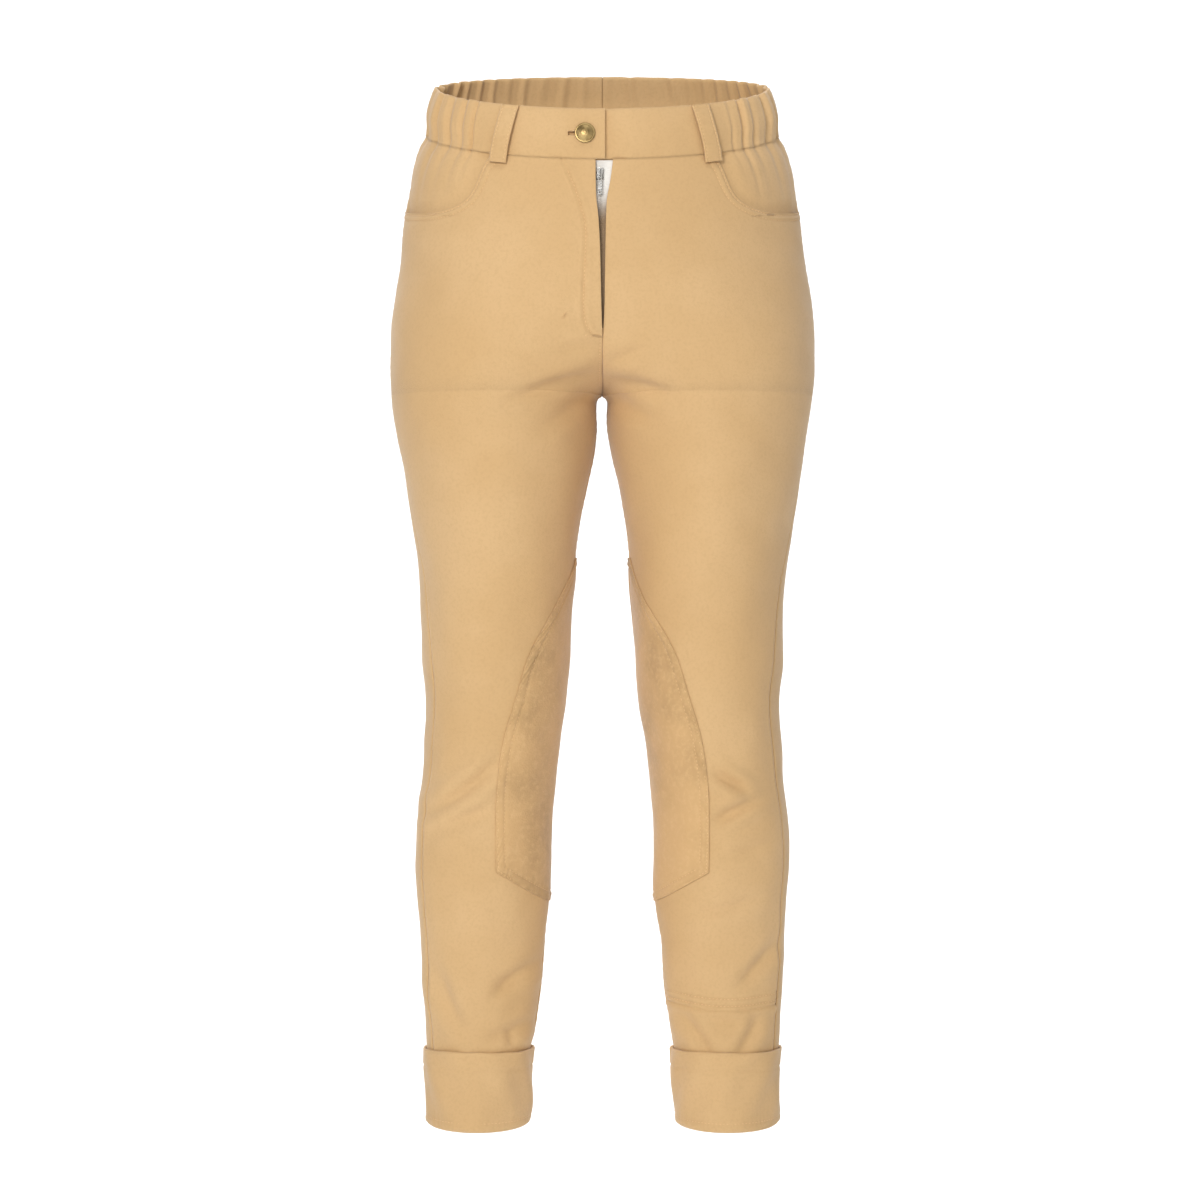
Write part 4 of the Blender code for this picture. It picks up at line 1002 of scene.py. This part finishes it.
def make_patch(side):
    angles, level, part = patch_grid()
    middle = round_inseam(side, angles, level, np.zeros(angles.shape))
    rim = np.concatenate([middle[0], middle[1:, -1], middle[-1, ::-1], middle[-2:0:-1, 0]])[::3]
    away = np.full(angles.shape, 1.0)
    for block in range(0, len(rim), 12):
        gap = np.linalg.norm(middle[:, :, None] - rim[None, None, block : block + 12], axis=-1)
        away = np.minimum(away, gap.min(axis=-1))
    height = LAY_GAP + PATCH_CLOTH + pressed(away, 0.0022, 0.00050, 0.0009) + pressed(away, 0.0078, 0.00070, 0.0010)
    height += 0.00030 * smooth(0.0090, 0.0072, away) - 0.0005 * np.exp(-away / 0.0006)
    uneven = 0.8 + 0.6 * np.sin(level * 34 + side)
    height += uneven * puckers(level + 0.2 * part, away - 0.005, 0.005, 0.0085, 0.00060)
    seam = np.abs(angles - math.pi) * 0.05
    height += pressed(seam, 0, 0.0003, 0.0012)
    outer = round_inseam(side, angles, level, height)
    for row_at in (0.0022, 0.0078):
        for line in contours(outer, away, row_at):
            SEWN.append(("knee_patch_" + SIDE_NAMES[side], line))
    inner = round_inseam(side, angles[:, ::3], level[:, ::3], np.full(angles[:, ::3].shape, LAY_GAP * 0.6))
    return loft("knee_patch_suede_" + SIDE_NAMES[side], outer, inner)


PATCHES = {side: make_patch(side) for side in (1, -1)}
print([len(piece.data.polygons) for piece in PATCHES.values()])

# %% [markdown]
# ## Turn-ups
#
# The leg's end is folded up outside itself and caught down. It is a closed band a little wider than
# the leg, so it stands off at its top and throws a shadow. Its fold at the hem is soft and round,
# and its top edge wanders by a millimetre, as pressed cloth does after wear.

# %% Turn-ups
TURN_UP_WALL = (
    (0.0008, 0.0630), (0.0020, 0.0636), (0.0032, 0.0626), (0.0036, 0.0500), (0.0036, 0.0200), (0.0034, 0.0050),
    (0.0028, 0.0014), (0.0014, 0.0000), (-0.0010, 0.0000), (-0.0020, 0.0006), (-0.0022, 0.0016), (0.0001, 0.0016),
    (0.0006, 0.0040), (0.0006, 0.0320), (0.0006, 0.0600),
)
HEM_SAG = 0.0040


def make_turn_up(side):
    wall = np.array(TURN_UP_WALL)
    walked = np.concatenate([[0], np.cumsum(np.hypot(*np.diff(wall, axis=0).T))])
    steps = np.linspace(0, walked[-1], 78)
    out, rise = np.interp(steps, walked, wall[:, 0]), np.interp(steps, walked, wall[:, 1])
    angles = np.linspace(0, 2 * math.pi, 250, endpoint=False)[:, None]
    level = HEM + rise + 0 * angles
    outside = (steps < walked[6]) & (steps > walked[1])
    height = out + 0 * angles
    slump = 0.0009 * np.sin(3 * angles + side) * np.sin(rise * 95) + 0.0006 * np.sin(5 * angles + 2 + 70 * rise)
    slump = slump + 0.0006 * np.sin(9 * angles - 110 * rise + side) * smooth(0, 0.02, rise)
    stitched = pressed(rise, 0.0075, 0.0004, 0.0008) + pressed(rise, 0.0480, 0.0008, 0.0011) + 0.00025 * np.sin(angles * 46 + 3 * np.sin(angles * 7)) * np.exp(-rise / 0.009)
    seams = pressed(np.minimum(np.abs(angles), 2 * math.pi - np.abs(angles)) * 0.045, 0, 0.0006, 0.0010)
    seams = seams + pressed(np.abs(angles - math.pi) * 0.045, 0, 0.0006, 0.0010)
    height = height + np.where(outside, slump + stitched + seams, 0)
    toward_front = np.maximum(np.sin(angles - math.pi), 0)
    level = level - HEM_SAG * toward_front * smooth(0.035, 0.0, rise)
    edge = smooth(0.050, 0.063, rise) * (steps < walked[4])
    level = level + edge * (0.0004 * np.sin(3 * angles + side) + 0.0002 * np.sin(11 * angles))
    return loft("turn_up_cloth_" + SIDE_NAMES[side], round_inseam(side, angles + 0 * level, level, height), closed=True)


TURN_UPS = {side: make_turn_up(side) for side in (1, -1)}
print([len(piece.data.polygons) for piece in TURN_UPS.values()])

# %% [markdown]
# ## Zip tape and teeth
#
# Two woven tapes lie flat behind the fly with closed teeth between them. The teeth are one short bar
# repeated, left and right in turn, so that they read as interlocked.

# %% Zip tape and teeth
TAPE_DEPTH, TAPE_CLOTH, TAPE_INSET = 0.0033, 0.0008, 0.0050
TAPE_EDGES = (-0.0150, 0.0125)
SLIDER_X, SLIDER_LEVEL = -0.0022, -0.0320
TEETH_PITCH = 0.00125


def front_points(x, level, out):
    """Points over the front's plain surface, on whichever half x falls."""
    angles = -angle_at(np.abs(x), level)
    normal_out = out - relief(1, angles, level) * 0
    left = surface(1, angles, level) + outward(1, angles, level) * normal_out[..., None]
    right = surface(-1, angles, level) + outward(-1, angles, level) * normal_out[..., None]
    return np.where((x >= 0)[..., None], left, right)


tape_level = np.linspace(BAND_BOTTOM - 0.0008, FLY_BOTTOM + TAPE_INSET, 110)[:, None]
tape_x = np.linspace(*TAPE_EDGES, 34)[None, :] + 0 * tape_level
tape_level = tape_level + 0 * tape_x
tape_rib = 0.00008 * np.sin(tape_x * 2 * math.pi / 0.0016)
TAPE = loft("zip_tape_cloth", front_points(tape_x, tape_level, -TAPE_DEPTH + tape_rib), front_points(tape_x, tape_level, -TAPE_DEPTH - TAPE_CLOTH + 0 * tape_x))

tooth_level = np.arange(SLIDER_LEVEL - 0.0045, FLY_BOTTOM + 0.006, -TEETH_PITCH)
tooth_side = np.where(np.arange(len(tooth_level)) % 2 == 0, 1, -1)
tooth_ends = SLIDER_X + tooth_side[:, None] * np.array([[-0.0006, 0.0002, 0.0014, 0.0020]])
tooth_levels = tooth_level[:, None] + 0 * tooth_ends
tooth_paths = front_points(tooth_ends, tooth_levels, -TAPE_DEPTH + 0.00035 + 0 * tooth_ends)
TEETH = tube("zip_teeth", list(tooth_paths), 0.00045, sides=6)
print(len(tooth_paths), "teeth")

# %% [markdown]
# ## Stitches
#
# A row of topstitching is one short thread after another along a sewn line, a little sunk into the
# cloth. Each is a bar with five sides. The lines come from the same surface functions as the cloth,
# so they follow its folds; the ones on the patches and loops were kept while those were made.

# %% Stitches
STITCH_PITCH, STITCH_SHARE, THREAD_RADIUS, THREAD_OUT = 0.0032, 0.72, 0.00026, 0.0001


def shifted(path, distance):
    """A path in the plane of x and level, moved sideways."""
    run = np.gradient(np.asarray(path, float), axis=0)
    run /= np.linalg.norm(run, axis=1, keepdims=True)
    return np.asarray(path, float) + distance * np.stack([run[:, 1], -run[:, 0]], axis=-1)


def on_cloth(side, x, level, front=True, out=THREAD_OUT):
    """Points on a panel's outer face from x and level."""
    angles = (-1 if front else 1) * angle_at(np.abs(x), level, front)
    return cloth(side, angles, level, np.full(np.shape(x), out))


def stitches(name, lines):
    """Short bars along lines of points, at an even pitch."""
    paths = []
    for line in lines:
        walked = np.concatenate([[0], np.cumsum(np.linalg.norm(np.diff(line, axis=0), axis=1))])
        starts = np.arange(0.5 * STITCH_PITCH, walked[-1] - STITCH_PITCH, STITCH_PITCH)
        for start in starts:
            where = start + np.array([0, 0.5, 1]) * STITCH_SHARE * STITCH_PITCH
            paths.append(np.stack([np.interp(where, walked, line[:, axis]) for axis in range(3)], axis=-1))
    return tube(name, paths, THREAD_RADIUS, sides=5)


def zigzag(side, x0, level0, x1, level1, pitch=0.0009, reach=0.0007):
    """A bartack: one thread to and fro across a short line, close together."""
    count = max(4, round(math.hypot(x1 - x0, level1 - level0) / pitch) * 2)
    share = np.linspace(0, 1, count)
    sway = reach * (-1) ** np.arange(count)
    run = np.array([x1 - x0, level1 - level0]) / math.hypot(x1 - x0, level1 - level0)
    return on_cloth(side, x0 + (x1 - x0) * share - run[1] * sway, level0 + (level1 - level0) * share + run[0] * sway, out=0.0004)


for side in (1, -1):
    for distance in (0.0020, 0.0068):
        x, level = shifted(MOUTH_LINE, distance).T
        here = (x < section("outer", level) - 0.0005) & (level < BAND_BOTTOM)
        SEWN.append(("front_" + SIDE_NAMES[side], on_cloth(side, x[here], level[here])))
x, level = np.array(FLY_LINE[1:-1]).T
SEWN.append(("front_right", on_cloth(-1, x, level)))
rise = np.linspace(FLY_BOTTOM - 0.002, CROTCH + 0.006, 30)
SEWN.append(("front_right", on_cloth(-1, np.full(30, -0.0022), rise)))
behind = np.linspace(BAND_BOTTOM - 0.003, CROTCH + 0.020, 90)
SEWN.append(("back_right", on_cloth(-1, np.full(90, -0.0022), behind, False)))
leg = np.linspace(-0.12, -math.pi + 0.14, 90)
for distance in (0.0040, 0.0100):
    level = cross_seam(across(leg, np.full(90, CROSS_SEAM))) + distance
    SEWN.append(("front_left", cloth(1, leg, level, np.full(90, THREAD_OUT))))
ring = np.linspace(0, 2 * math.pi, 200)
for side in (1, -1):
    level = HEM + 0.0075 - HEM_SAG * np.maximum(np.sin(ring - math.pi), 0) * smooth(0.035, 0.0, 0.0075)
    SEWN.append(("turn_up_" + SIDE_NAMES[side], round_inseam(side, ring, level, np.full(200, 0.0036))))
SEAMS = {
    sewn: stitches("stitches_" + sewn, [line for other, line in SEWN if other == sewn])
    for sewn in dict.fromkeys(name for name, _ in SEWN)
}
for side in (1, -1):
    tacks = [(0.1360, -0.0838, 0.1440, -0.0846)]
    if side < 0:
        tacks += [(0.0008, -0.1978, 0.0150, -0.1966), (0.0300, -0.1790, 0.0330, -0.1836)]
    name = "front_" + SIDE_NAMES[side] + "_bartacks"
    SEAMS[name] = tube("stitches_" + name, [zigzag(side, *tack) for tack in tacks], 0.0003, sides=5)
print({sewn: len(piece.data.polygons) for sewn, piece in SEAMS.items()})

# %% [markdown]
# ## Materials
#
# A small class wraps a node socket, so shader maths reads as ordinary maths. The cloth is a brushed
# cotton twill: a fine slanted rib, a slight nap that lightens its edges, and colour that turns a little
# paler in large soft patches. An image of cloth would be quicker, but it would repeat.

# %% Shader maths


class Value:
    """One output socket. +, -, * and / with numbers or other values make Math nodes."""

    def __init__(self, tree, socket):
        self.tree, self.socket = tree, socket

    def maths(self, operation, *inputs):
        node = self.tree.nodes.new("ShaderNodeMath")
        node.operation = operation
        for place, value in enumerate(inputs):
            connect(self.tree, value, node.inputs[place])
        return Value(self.tree, node.outputs[0])

    def __add__(self, other):
        return self.maths("ADD", self, other)

    def __mul__(self, other):
        return self.maths("MULTIPLY", self, other)

    def __sub__(self, other):
        return self.maths("SUBTRACT", self, other)

    def __rsub__(self, other):
        return self.maths("SUBTRACT", other, self)

    def __truediv__(self, other):
        return self.maths("DIVIDE", self, other)

    def __rtruediv__(self, other):
        return self.maths("DIVIDE", other, self)

    __radd__, __rmul__ = __add__, __mul__

    def sine(self):
        return self.maths("SINE", self)

    def ramp(self, low, high):
        """0 at low, 1 at high, with smooth ends."""
        node = self.tree.nodes.new("ShaderNodeMapRange")
        node.interpolation_type = "SMOOTHSTEP"
        connect(self.tree, self, node.inputs["Value"])
        node.inputs["From Min"].default_value, node.inputs["From Max"].default_value = low, high
        return Value(self.tree, node.outputs["Result"])


def connect(tree, value, socket):
    if isinstance(value, Value):
        tree.links.new(value.socket, socket)
    else:
        socket.default_value = value


def shader_node(tree, kind, output, settings=(), **inputs):
    """Any node: its type, the wanted output, its settings, and values or links by input name."""
    node = tree.nodes.new(kind)
    for name, value in dict(settings).items():
        setattr(node, name, value)
    for name, value in inputs.items():
        connect(tree, value, node.inputs[name.replace("_", " ")])
    return Value(tree, node.outputs[output])


def mix_colour(tree, share, low, high):
    node = tree.nodes.new("ShaderNodeMix")
    node.data_type = "RGBA"
    for place, value in ((0, share), (6, low), (7, high)):
        connect(tree, value, node.inputs[place])
    return Value(tree, node.outputs[2])


def new_material(name, roughness, metallic=0.0, sheen=0.0):
    shade = bpy.data.materials.new(name)
    shade.use_nodes = True
    tree = shade.node_tree
    shader = tree.nodes["Principled BSDF"]
    shader.inputs["Metallic"].default_value = metallic
    shader.inputs["Sheen Weight"].default_value = sheen
    shader.inputs["Sheen Roughness"].default_value = 0.5
    connect(tree, roughness, shader.inputs["Roughness"])
    return shade, tree, shader


def noise(tree, vector, scale, detail=3.0, roughness=0.55):
    return shader_node(tree, "ShaderNodeTexNoise", "Fac", Vector=vector, Scale=scale, Detail=detail, Roughness=roughness)


def bump(tree, shader, height, distance):
    """Adds small relief to the shading: distance is how many metres a height of 1 stands for."""
    node = tree.nodes.new("ShaderNodeBump")
    node.inputs["Strength"].default_value = 1.0
    node.inputs["Distance"].default_value = distance
    connect(tree, height, node.inputs["Height"])
    tree.links.new(node.outputs["Normal"], shader.inputs["Normal"])


def object_coordinates(tree):
    return shader_node(tree, "ShaderNodeTexCoord", "Object")


def cloth_coordinates(tree):
    return shader_node(tree, "ShaderNodeUVMap", "UV", {"uv_map": "cloth"})


# %% Materials
# Painted shade on the zip tape and its teeth: dark below the first level, pale above the second.
TAPE_SHADE_LEVELS = (-0.100, -0.066)


def twill_material(name, colour, worn, shaded):
    shade, tree, shader = new_material(name, 0.86, sheen=0.22)
    place, along = object_coordinates(tree), cloth_coordinates(tree)
    cloudy = noise(tree, place, 9.0)
    fleck = noise(tree, place, 420.0, 2.0)
    base = mix_colour(tree, cloudy.ramp(0.35, 0.70), (*colour, 1), (*worn, 1))
    base = mix_colour(tree, fleck.ramp(0.42, 0.72) * 0.22, base, (*shaded, 1))
    connect(tree, base, shader.inputs["Base Color"])
    split = tree.nodes.new("ShaderNodeSeparateXYZ")
    connect(tree, along, split.inputs[0])
    u, v = Value(tree, split.outputs[0]), Value(tree, split.outputs[1])
    rib = ((u * 0.8 + v) * (2 * math.pi / 0.0011)).sine()
    nap = noise(tree, place, 900.0, 2.0)
    crumple = noise(tree, place, 70.0, 3.0)
    bump(tree, shader, rib * 0.10 + nap * 0.55 + crumple * 1.6, 0.00022)
    return shade


def suede_material(name, colour, dark, pale):
    """Suede: close to the cloth's colour, scuffed darker in soft blotches and brushed paler."""
    shade, tree, shader = new_material(name, 0.95, sheen=0.30)
    place = object_coordinates(tree)
    blotch, cloudy = noise(tree, place, 13.0, 2.0), noise(tree, place, 60.0, 4.0)
    brushed, grain = noise(tree, place, 260.0, 4.0), noise(tree, place, 700.0, 2.0)
    rubbed = blotch.ramp(0.40, 0.70) * (cloudy.ramp(0.25, 0.70) * 0.6 + 0.4)
    base = mix_colour(tree, rubbed, (*colour, 1), (*dark, 1))
    base = mix_colour(tree, brushed.ramp(0.45, 0.72) * 0.40, base, (*pale, 1))
    connect(tree, base, shader.inputs["Base Color"])
    bump(tree, shader, brushed * 0.9 + grain * 0.8 + cloudy * 1.0, 0.00035)
    return shade


def tape_material(name, pale, dark):
    """Woven tape, pale at the slider and darker further down, where painted shade stands for the shadow deep in the
    narrow fly.
    """
    shade, tree, shader = new_material(name, 0.8, sheen=0.1)
    place, along = object_coordinates(tree), cloth_coordinates(tree)
    split = tree.nodes.new("ShaderNodeSeparateXYZ")
    connect(tree, place, split.inputs[0])
    height = Value(tree, split.outputs[2]) + noise(tree, place, 60.0) * 0.012
    wave = shader_node(tree, "ShaderNodeTexWave", "Fac", {"bands_direction": "Y"}, Vector=along, Scale=160.0)
    # Painted shade: the tape turns dark towards the bottom of the fly, for the shadow in its narrow gap.
    connect(tree, mix_colour(tree, height.ramp(*TAPE_SHADE_LEVELS), (*dark, 1), (*pale, 1)), shader.inputs["Base Color"])
    bump(tree, shader, wave + noise(tree, place, 500.0), 0.00015)
    return shade


def metal_material(name, colour, worn, roughness, wear_scale):
    shade, tree, shader = new_material(name, roughness, metallic=1.0)
    place = object_coordinates(tree)
    wear = noise(tree, place, wear_scale, 4.0)
    scratch = noise(tree, place, wear_scale * 9, 2.0)
    connect(tree, mix_colour(tree, wear.ramp(0.40, 0.66), (*colour, 1), (*worn, 1)), shader.inputs["Base Color"])
    connect(tree, wear.ramp(0.3, 0.7) * 0.22 + roughness - 0.08, shader.inputs["Roughness"])
    bump(tree, shader, scratch + wear, 0.00008)
    return shade


TWILL = twill_material("cotton twill", (0.590, 0.375, 0.170), (0.635, 0.415, 0.200), (0.480, 0.292, 0.124))
SUEDE = suede_material("suede", (0.610, 0.382, 0.172), (0.465, 0.288, 0.126), (0.680, 0.448, 0.220))
TAPE_WITH_PAINTED_SHADE = tape_material("woven tape", (0.800, 0.770, 0.720), (0.230, 0.150, 0.080))
STEEL = metal_material("nickel", (0.48, 0.47, 0.45), (0.30, 0.285, 0.26), 0.30, 240.0)
THREAD = twill_material("sewing thread", (0.760, 0.510, 0.250), (0.800, 0.550, 0.290), (0.600, 0.380, 0.170))
BRASS = metal_material("antique brass", (0.300, 0.205, 0.085), (0.410, 0.295, 0.130), 0.36, 150.0)


def wear(piece, shade):
    piece.data.materials.clear()
    piece.data.materials.append(shade)


def recolour(node, shade):
    """A solid that stays keeps its mesh, and takes the material in its object's slots."""
    kept = frame["nodes"][node]
    for part in kept.material_slots:
        part.link = "OBJECT"
        part.material = shade


for piece in [*PANELS.values(), *FACINGS.values(), *BANDS.values(), *LOOPS.values(), *TURN_UPS.values()]:
    wear(piece, TWILL)
for piece in PATCHES.values():
    wear(piece, SUEDE)
wear(TAPE, TAPE_WITH_PAINTED_SHADE)
# The teeth take the tape's material, painted shade included.
wear(TEETH, TAPE_WITH_PAINTED_SHADE)
for piece in SEAMS.values():
    wear(piece, THREAD)
for node, shade in (("zip_slider", STEEL), ("zip_pull", STEEL), ("waist_button", BRASS)):
    recolour(node, shade)
print(len(bpy.data.materials), "materials")

# %% [markdown]
# ## What rides on what
#
# All the cloth rides on the garment, and a piece that stands for a solid hides it. Only the pull tab
# moves, and it keeps its own solid.

# %% Pieces and the solids they stand for


def stands_for(piece, node):
    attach(piece, GARMENT)
    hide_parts(node)


def outer_area(piece):
    """Half of a closed shell's area: the cloth's own area on one face."""
    return sum(polygon.area for polygon in piece.data.polygons) / 2


for (side, front), piece in PANELS.items():
    stands_for(piece, ("front_" if front else "back_") + SIDE_NAMES[side])
for side in (1, -1):
    stands_for(FACINGS[side], "pocket_facing_" + SIDE_NAMES[side])
    stands_for(BANDS[side], "waistband_" + SIDE_NAMES[side])
    stands_for(PATCHES[side], "knee_patch_" + SIDE_NAMES[side])
    stands_for(TURN_UPS[side], "turn_up_" + SIDE_NAMES[side])
for node, piece in LOOPS.items():
    stands_for(piece, node)
stands_for(TAPE, "zip_tape")
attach(TEETH, GARMENT)
for sewn, piece in SEAMS.items():
    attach(piece, GARMENT)
print("stand-ins set")

# %% Floor, backdrop and lights


def backdrop():
    """A pale floor that turns up into a wall, from one profile swept across."""
    turn = np.linspace(0, math.pi / 2, 24)
    radius, floor_level, wall = 1.2, -1.25, 4.2
    y = np.concatenate([[-7.0], wall - radius + radius * np.sin(turn), [wall]])
    z = np.concatenate([[floor_level], floor_level + radius - radius * np.cos(turn), [floor_level + 6.0]])
    points = np.array([[x, a, b] for x in (-7.0, 7.0) for a, b in zip(y, z)])
    many = len(y)
    faces = [(i, i + 1, many + i + 1, many + i) for i in range(many - 1)]
    piece = plain_object("backdrop", points, faces)
    piece.data.shade_smooth()
    shade, tree, shader = new_material("pale backdrop", 0.9)
    shader.inputs["Base Color"].default_value = (0.97, 0.97, 0.97, 1)
    wear(piece, shade)
    return piece


backdrop()


def soft_light(name, place, aim, size, power):
    data = bpy.data.lights.new(name, "AREA")
    data.shape = "RECTANGLE"
    data.size, data.size_y = size
    data.energy = power
    light = bpy.data.objects.new(name, data)
    light.location = place
    light.rotation_euler = (Vector(aim) - Vector(place)).to_track_quat("-Z", "Y").to_euler()
    bpy.context.scene.collection.objects.link(light)
    return light


MIDDLE = (0, 0, -0.42)
soft_light("key", (-1.0, -2.9, 0.7), MIDDLE, (1.0, 1.0), 53)
soft_light("fill", (0.9, -3.0, -0.2), MIDDLE, (1.4, 1.8), 11)
soft_light("top", (0.0, -0.45, 1.3), (0, 0.1, 0), (0.7, 0.25), 5)
soft_light("wall", (0.0, 2.9, 3.4), (0, 4.2, -0.6), (4.0, 0.5), 190)
world = bpy.data.worlds.new("studio")
world.use_nodes = True
world.node_tree.nodes["Background"].inputs["Color"].default_value = (1, 1, 1, 1)
world.node_tree.nodes["Background"].inputs["Strength"].default_value = 0.38
bpy.context.scene.world = world
bpy.context.scene.view_settings.view_transform = "Standard"

# %% [markdown]
# ## Cut sizes
#
# Before it is sewn, each piece is flat cloth. The table gives the width and length of the smallest
# rectangle each is cut from, in metres, and its own flat area in square metres where it isn't one.
# The printout sets the modelled face against it.

# %% Cut sizes and triangle count
CUTS = {
    "front": (0.250, 0.860, 0.1550),
    "back": (0.290, 0.870, 0.1940),
    "facing": (0.100, 0.100, 0.0085),
    "band right": (0.480, 0.042, None),
    "band left": (0.500, 0.042, None),
    "loop": (0.018, 0.050, None),
    "patch": (0.190, 0.300, 0.0400),
    "turn-up": (0.300, 0.065, None),
    "tape": (0.0275, 0.155, None),
}
SHEETS = [(piece, "front" if front else "back", "draped") for (side, front), piece in PANELS.items()]
SHEETS += [(piece, "facing", "draped") for piece in FACINGS.values()]
SHEETS += [(BANDS[-1], "band right", "gathered"), (BANDS[1], "band left", "gathered")]
SHEETS += [(piece, "loop", "stretched") for piece in LOOPS.values()]
SHEETS += [(piece, "patch", "stretched") for piece in PATCHES.values()]
SHEETS += [(piece, "turn-up", "folded") for piece in TURN_UPS.values()] + [(TAPE, "tape", "stretched")]
for piece, cut, held in SHEETS:
    width, length, area = CUTS[cut]
    flat_area, shown = area or width * length, outer_area(piece)
    print(f"{piece.name}: cut {width} x {length} m, {shown:.5f} m2 a face, ratio {shown / flat_area:.2f}")
    node = piece.name.replace("_cloth", "").replace("_suede", "")
    sewn = [SEAMS[name] for name in SEAMS if name.startswith(node)]
total = sum(len(face.vertices) - 2 for obj in bpy.data.objects if obj.type == "MESH" for face in obj.data.polygons)
print("triangles in all", total)
